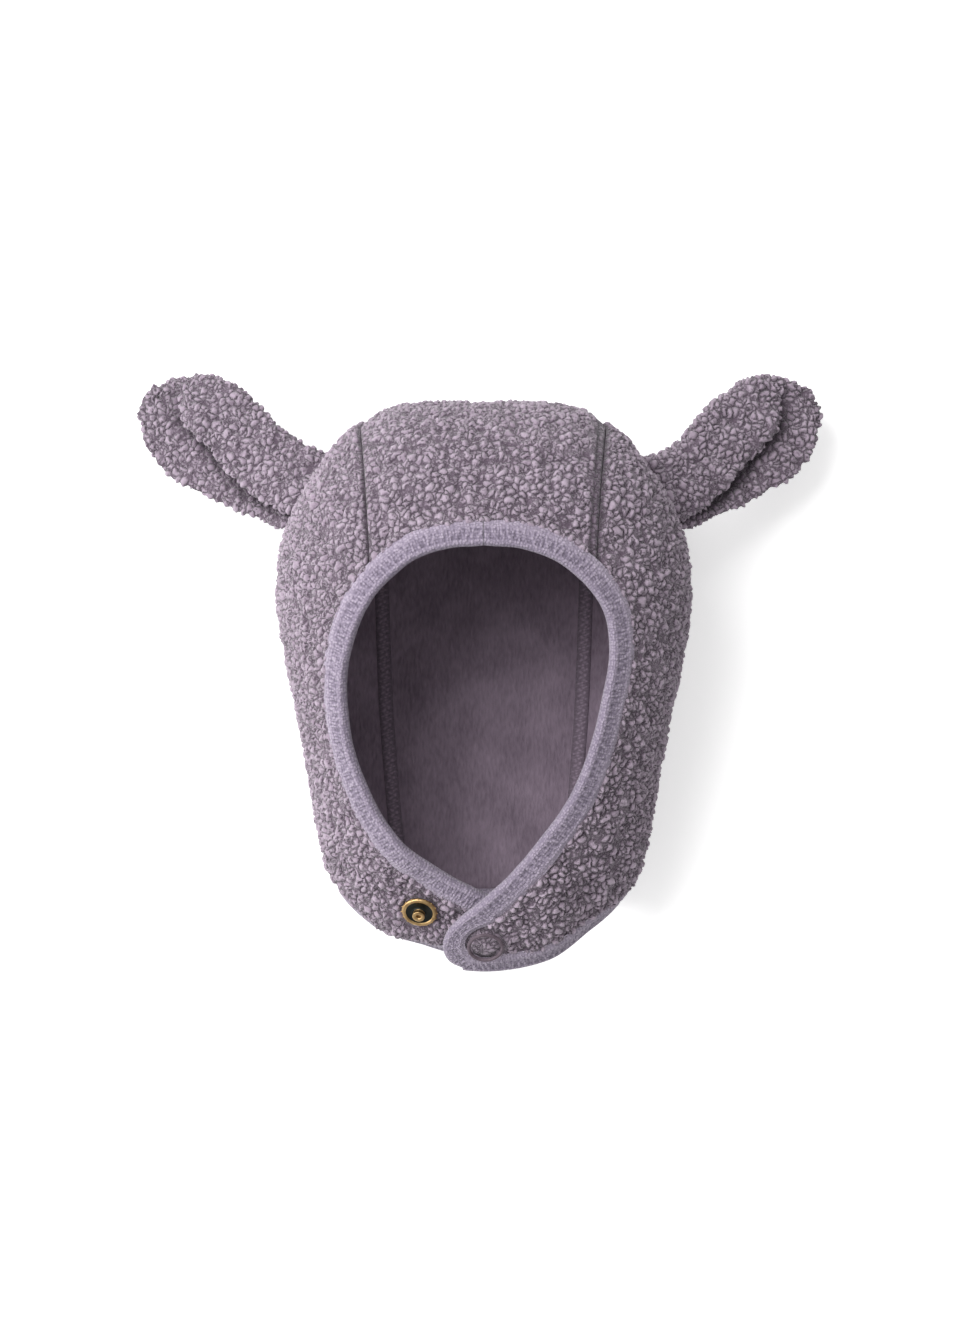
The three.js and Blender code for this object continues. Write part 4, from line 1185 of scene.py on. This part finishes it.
def ring_material():
    material, tree, shader = material_of("lilac_enamel", 0.55)
    place = own_place(tree)
    worn = noise_of(tree, place, 0.002, 3.0).outputs["Fac"]
    coloured(tree, shader, worn, ENAMEL_TONES)
    return material


brass = brass_material()
stud = turned("stud_open_brass", OPEN_STUD["profile"])
prongs = []
for k in range(OPEN_STUD["prongs"]):
    angle = 2 * math.pi * k / OPEN_STUD["prongs"]
    on_rim = Vector((math.cos(angle), math.sin(angle), 0)) * OPEN_STUD["rim"]
    on_rim.z = OPEN_STUD["rim_height"]
    bpy.ops.mesh.primitive_uv_sphere_add(segments=10, ring_count=8, radius=OPEN_STUD["prong"] * MM)
    prong = bpy.context.object
    bpy.ops.object.mode_set(mode="EDIT")
    bpy.ops.mesh.select_all(action="SELECT")
    bpy.ops.transform.resize(value=(1.5, 0.75, 0.8))
    bpy.ops.transform.rotate(value=-angle, orient_axis="Z", center_override=(0, 0, 0))
    bpy.ops.transform.translate(value=on_rim * MM)
    bpy.ops.object.mode_set(mode="OBJECT")
    bpy.ops.object.shade_smooth()
    prongs.append(prong)
bpy.ops.object.select_all(action="DESELECT")
for prong in prongs:
    prong.select_set(True)
stud.select_set(True)
bpy.context.view_layer.objects.active = stud
bpy.ops.object.join()
set_on_cloth(stud, STUD, OPEN_STUD["lift"], brass, "stud_open")
stud.data.materials.append(dark_brass_material())
centre, normal = seat_of(STUD)
axis_point = (centre + PLACE) * MM
for face in stud.data.polygons:
    offset = np.array(face.center) - axis_point
    up = offset @ normal
    radius = np.linalg.norm(offset - normal * up)
    if radius < OPEN_STUD["dish"] * MM and up < (OPEN_STUD["lift"] + OPEN_STUD["dish_top"]) * MM:
        face.material_index = 1

bpy.ops.object.select_all(action="DESELECT")
bpy.ops.mesh.primitive_cylinder_add(
    vertices=48, radius=SHUT_STUD["radius"] * MM, depth=SHUT_STUD["thick"] * MM
)
stud = bpy.context.object
stud.name = "stud_shut_brass"
bevel = stud.modifiers.new("rounding", "BEVEL")
bevel.width = 0.25 * MM
bevel.segments = 3
bpy.ops.object.modifier_apply(modifier="rounding")
bpy.ops.object.shade_smooth_by_angle(angle=math.radians(40))
set_on_cloth(stud, SHUT_STUD, SHUT_STUD["lift"] + SHUT_STUD["thick"] / 2, brass, "stud_shut")

bpy.ops.object.select_all(action="DESELECT")
bpy.ops.mesh.primitive_torus_add(
    major_radius=CAP_RING["radius"] * MM, minor_radius=CAP_RING["wire"] * MM,
    major_segments=72, minor_segments=14,
)
ring = bpy.context.object
ring.name = "cap_ring_enamel"
bpy.ops.object.shade_smooth()
set_on_cloth(ring, CAP, CAP_RING["lift"] + CAP_RING["wire"] * 0.8, ring_material(), "cap_ring")

# ---------------------------------------------------------------- the floor, light and camera
# The hat lies on a white table in a bright room, under a large soft light from the upper left and a
# weaker one from the left. The camera looks straight down at it.
TABLE_GLOW = 0.42
ROOM_LIGHT = 0.55
bpy.ops.object.select_all(action="DESELECT")
bpy.ops.mesh.primitive_plane_add(size=4, location=(0, 0, -0.0004))
floor = bpy.context.object
floor.name = "table_top"
material, tree, shader = material_of("white_table", 0.9)
shader.inputs["Base Color"].default_value = (0.93, 0.93, 0.93, 1)
# The table is overexposed, so only its deepest shadows show.
seen = tree.nodes.new("ShaderNodeLightPath").outputs["Is Camera Ray"]
tree.links.new(sum_of(tree, "MULTIPLY", seen, TABLE_GLOW), shader.inputs["Emission Strength"])
shader.inputs["Emission Color"].default_value = (1, 1, 1, 1)
floor.data.materials.append(material)

world = bpy.data.worlds.new("room")
bpy.context.scene.world = world
world.use_nodes = True
background = world.node_tree.nodes["Background"]
background.inputs["Color"].default_value = (1, 1, 1, 1)
background.inputs["Strength"].default_value = ROOM_LIGHT


def area_light(name, place, size, power):
    data = bpy.data.lights.new(name, "AREA")
    data.shape = "SQUARE"
    data.size = size
    data.energy = power
    light = bpy.data.objects.new(name, data)
    light.location = place
    light.rotation_euler = (-Vector(place)).to_track_quat("-Z", "Y").to_euler()
    bpy.context.scene.collection.objects.link(light)


area_light("window", (-0.95, 0.8, 1.75), 1.3, 42)
area_light("wall", (-1.5, -0.2, 0.75), 1.0, 14)

CAMERA_HEIGHT = 1.85
VIEW_HEIGHT = 0.5645  # of what the camera sees, at the height of the hat's middle
MIDDLE_HEIGHT = 0.05
camera_data = bpy.data.cameras.new("camera")
camera_data.sensor_fit = "VERTICAL"
camera_data.sensor_height = 24
camera_data.lens = 24 * (CAMERA_HEIGHT - MIDDLE_HEIGHT) / VIEW_HEIGHT
camera = bpy.data.objects.new("camera", camera_data)
camera.location = (0.0001, -0.0002, CAMERA_HEIGHT)
bpy.context.scene.collection.objects.link(camera)
bpy.context.scene.camera = camera
bpy.context.scene.view_settings.view_transform = "Standard"
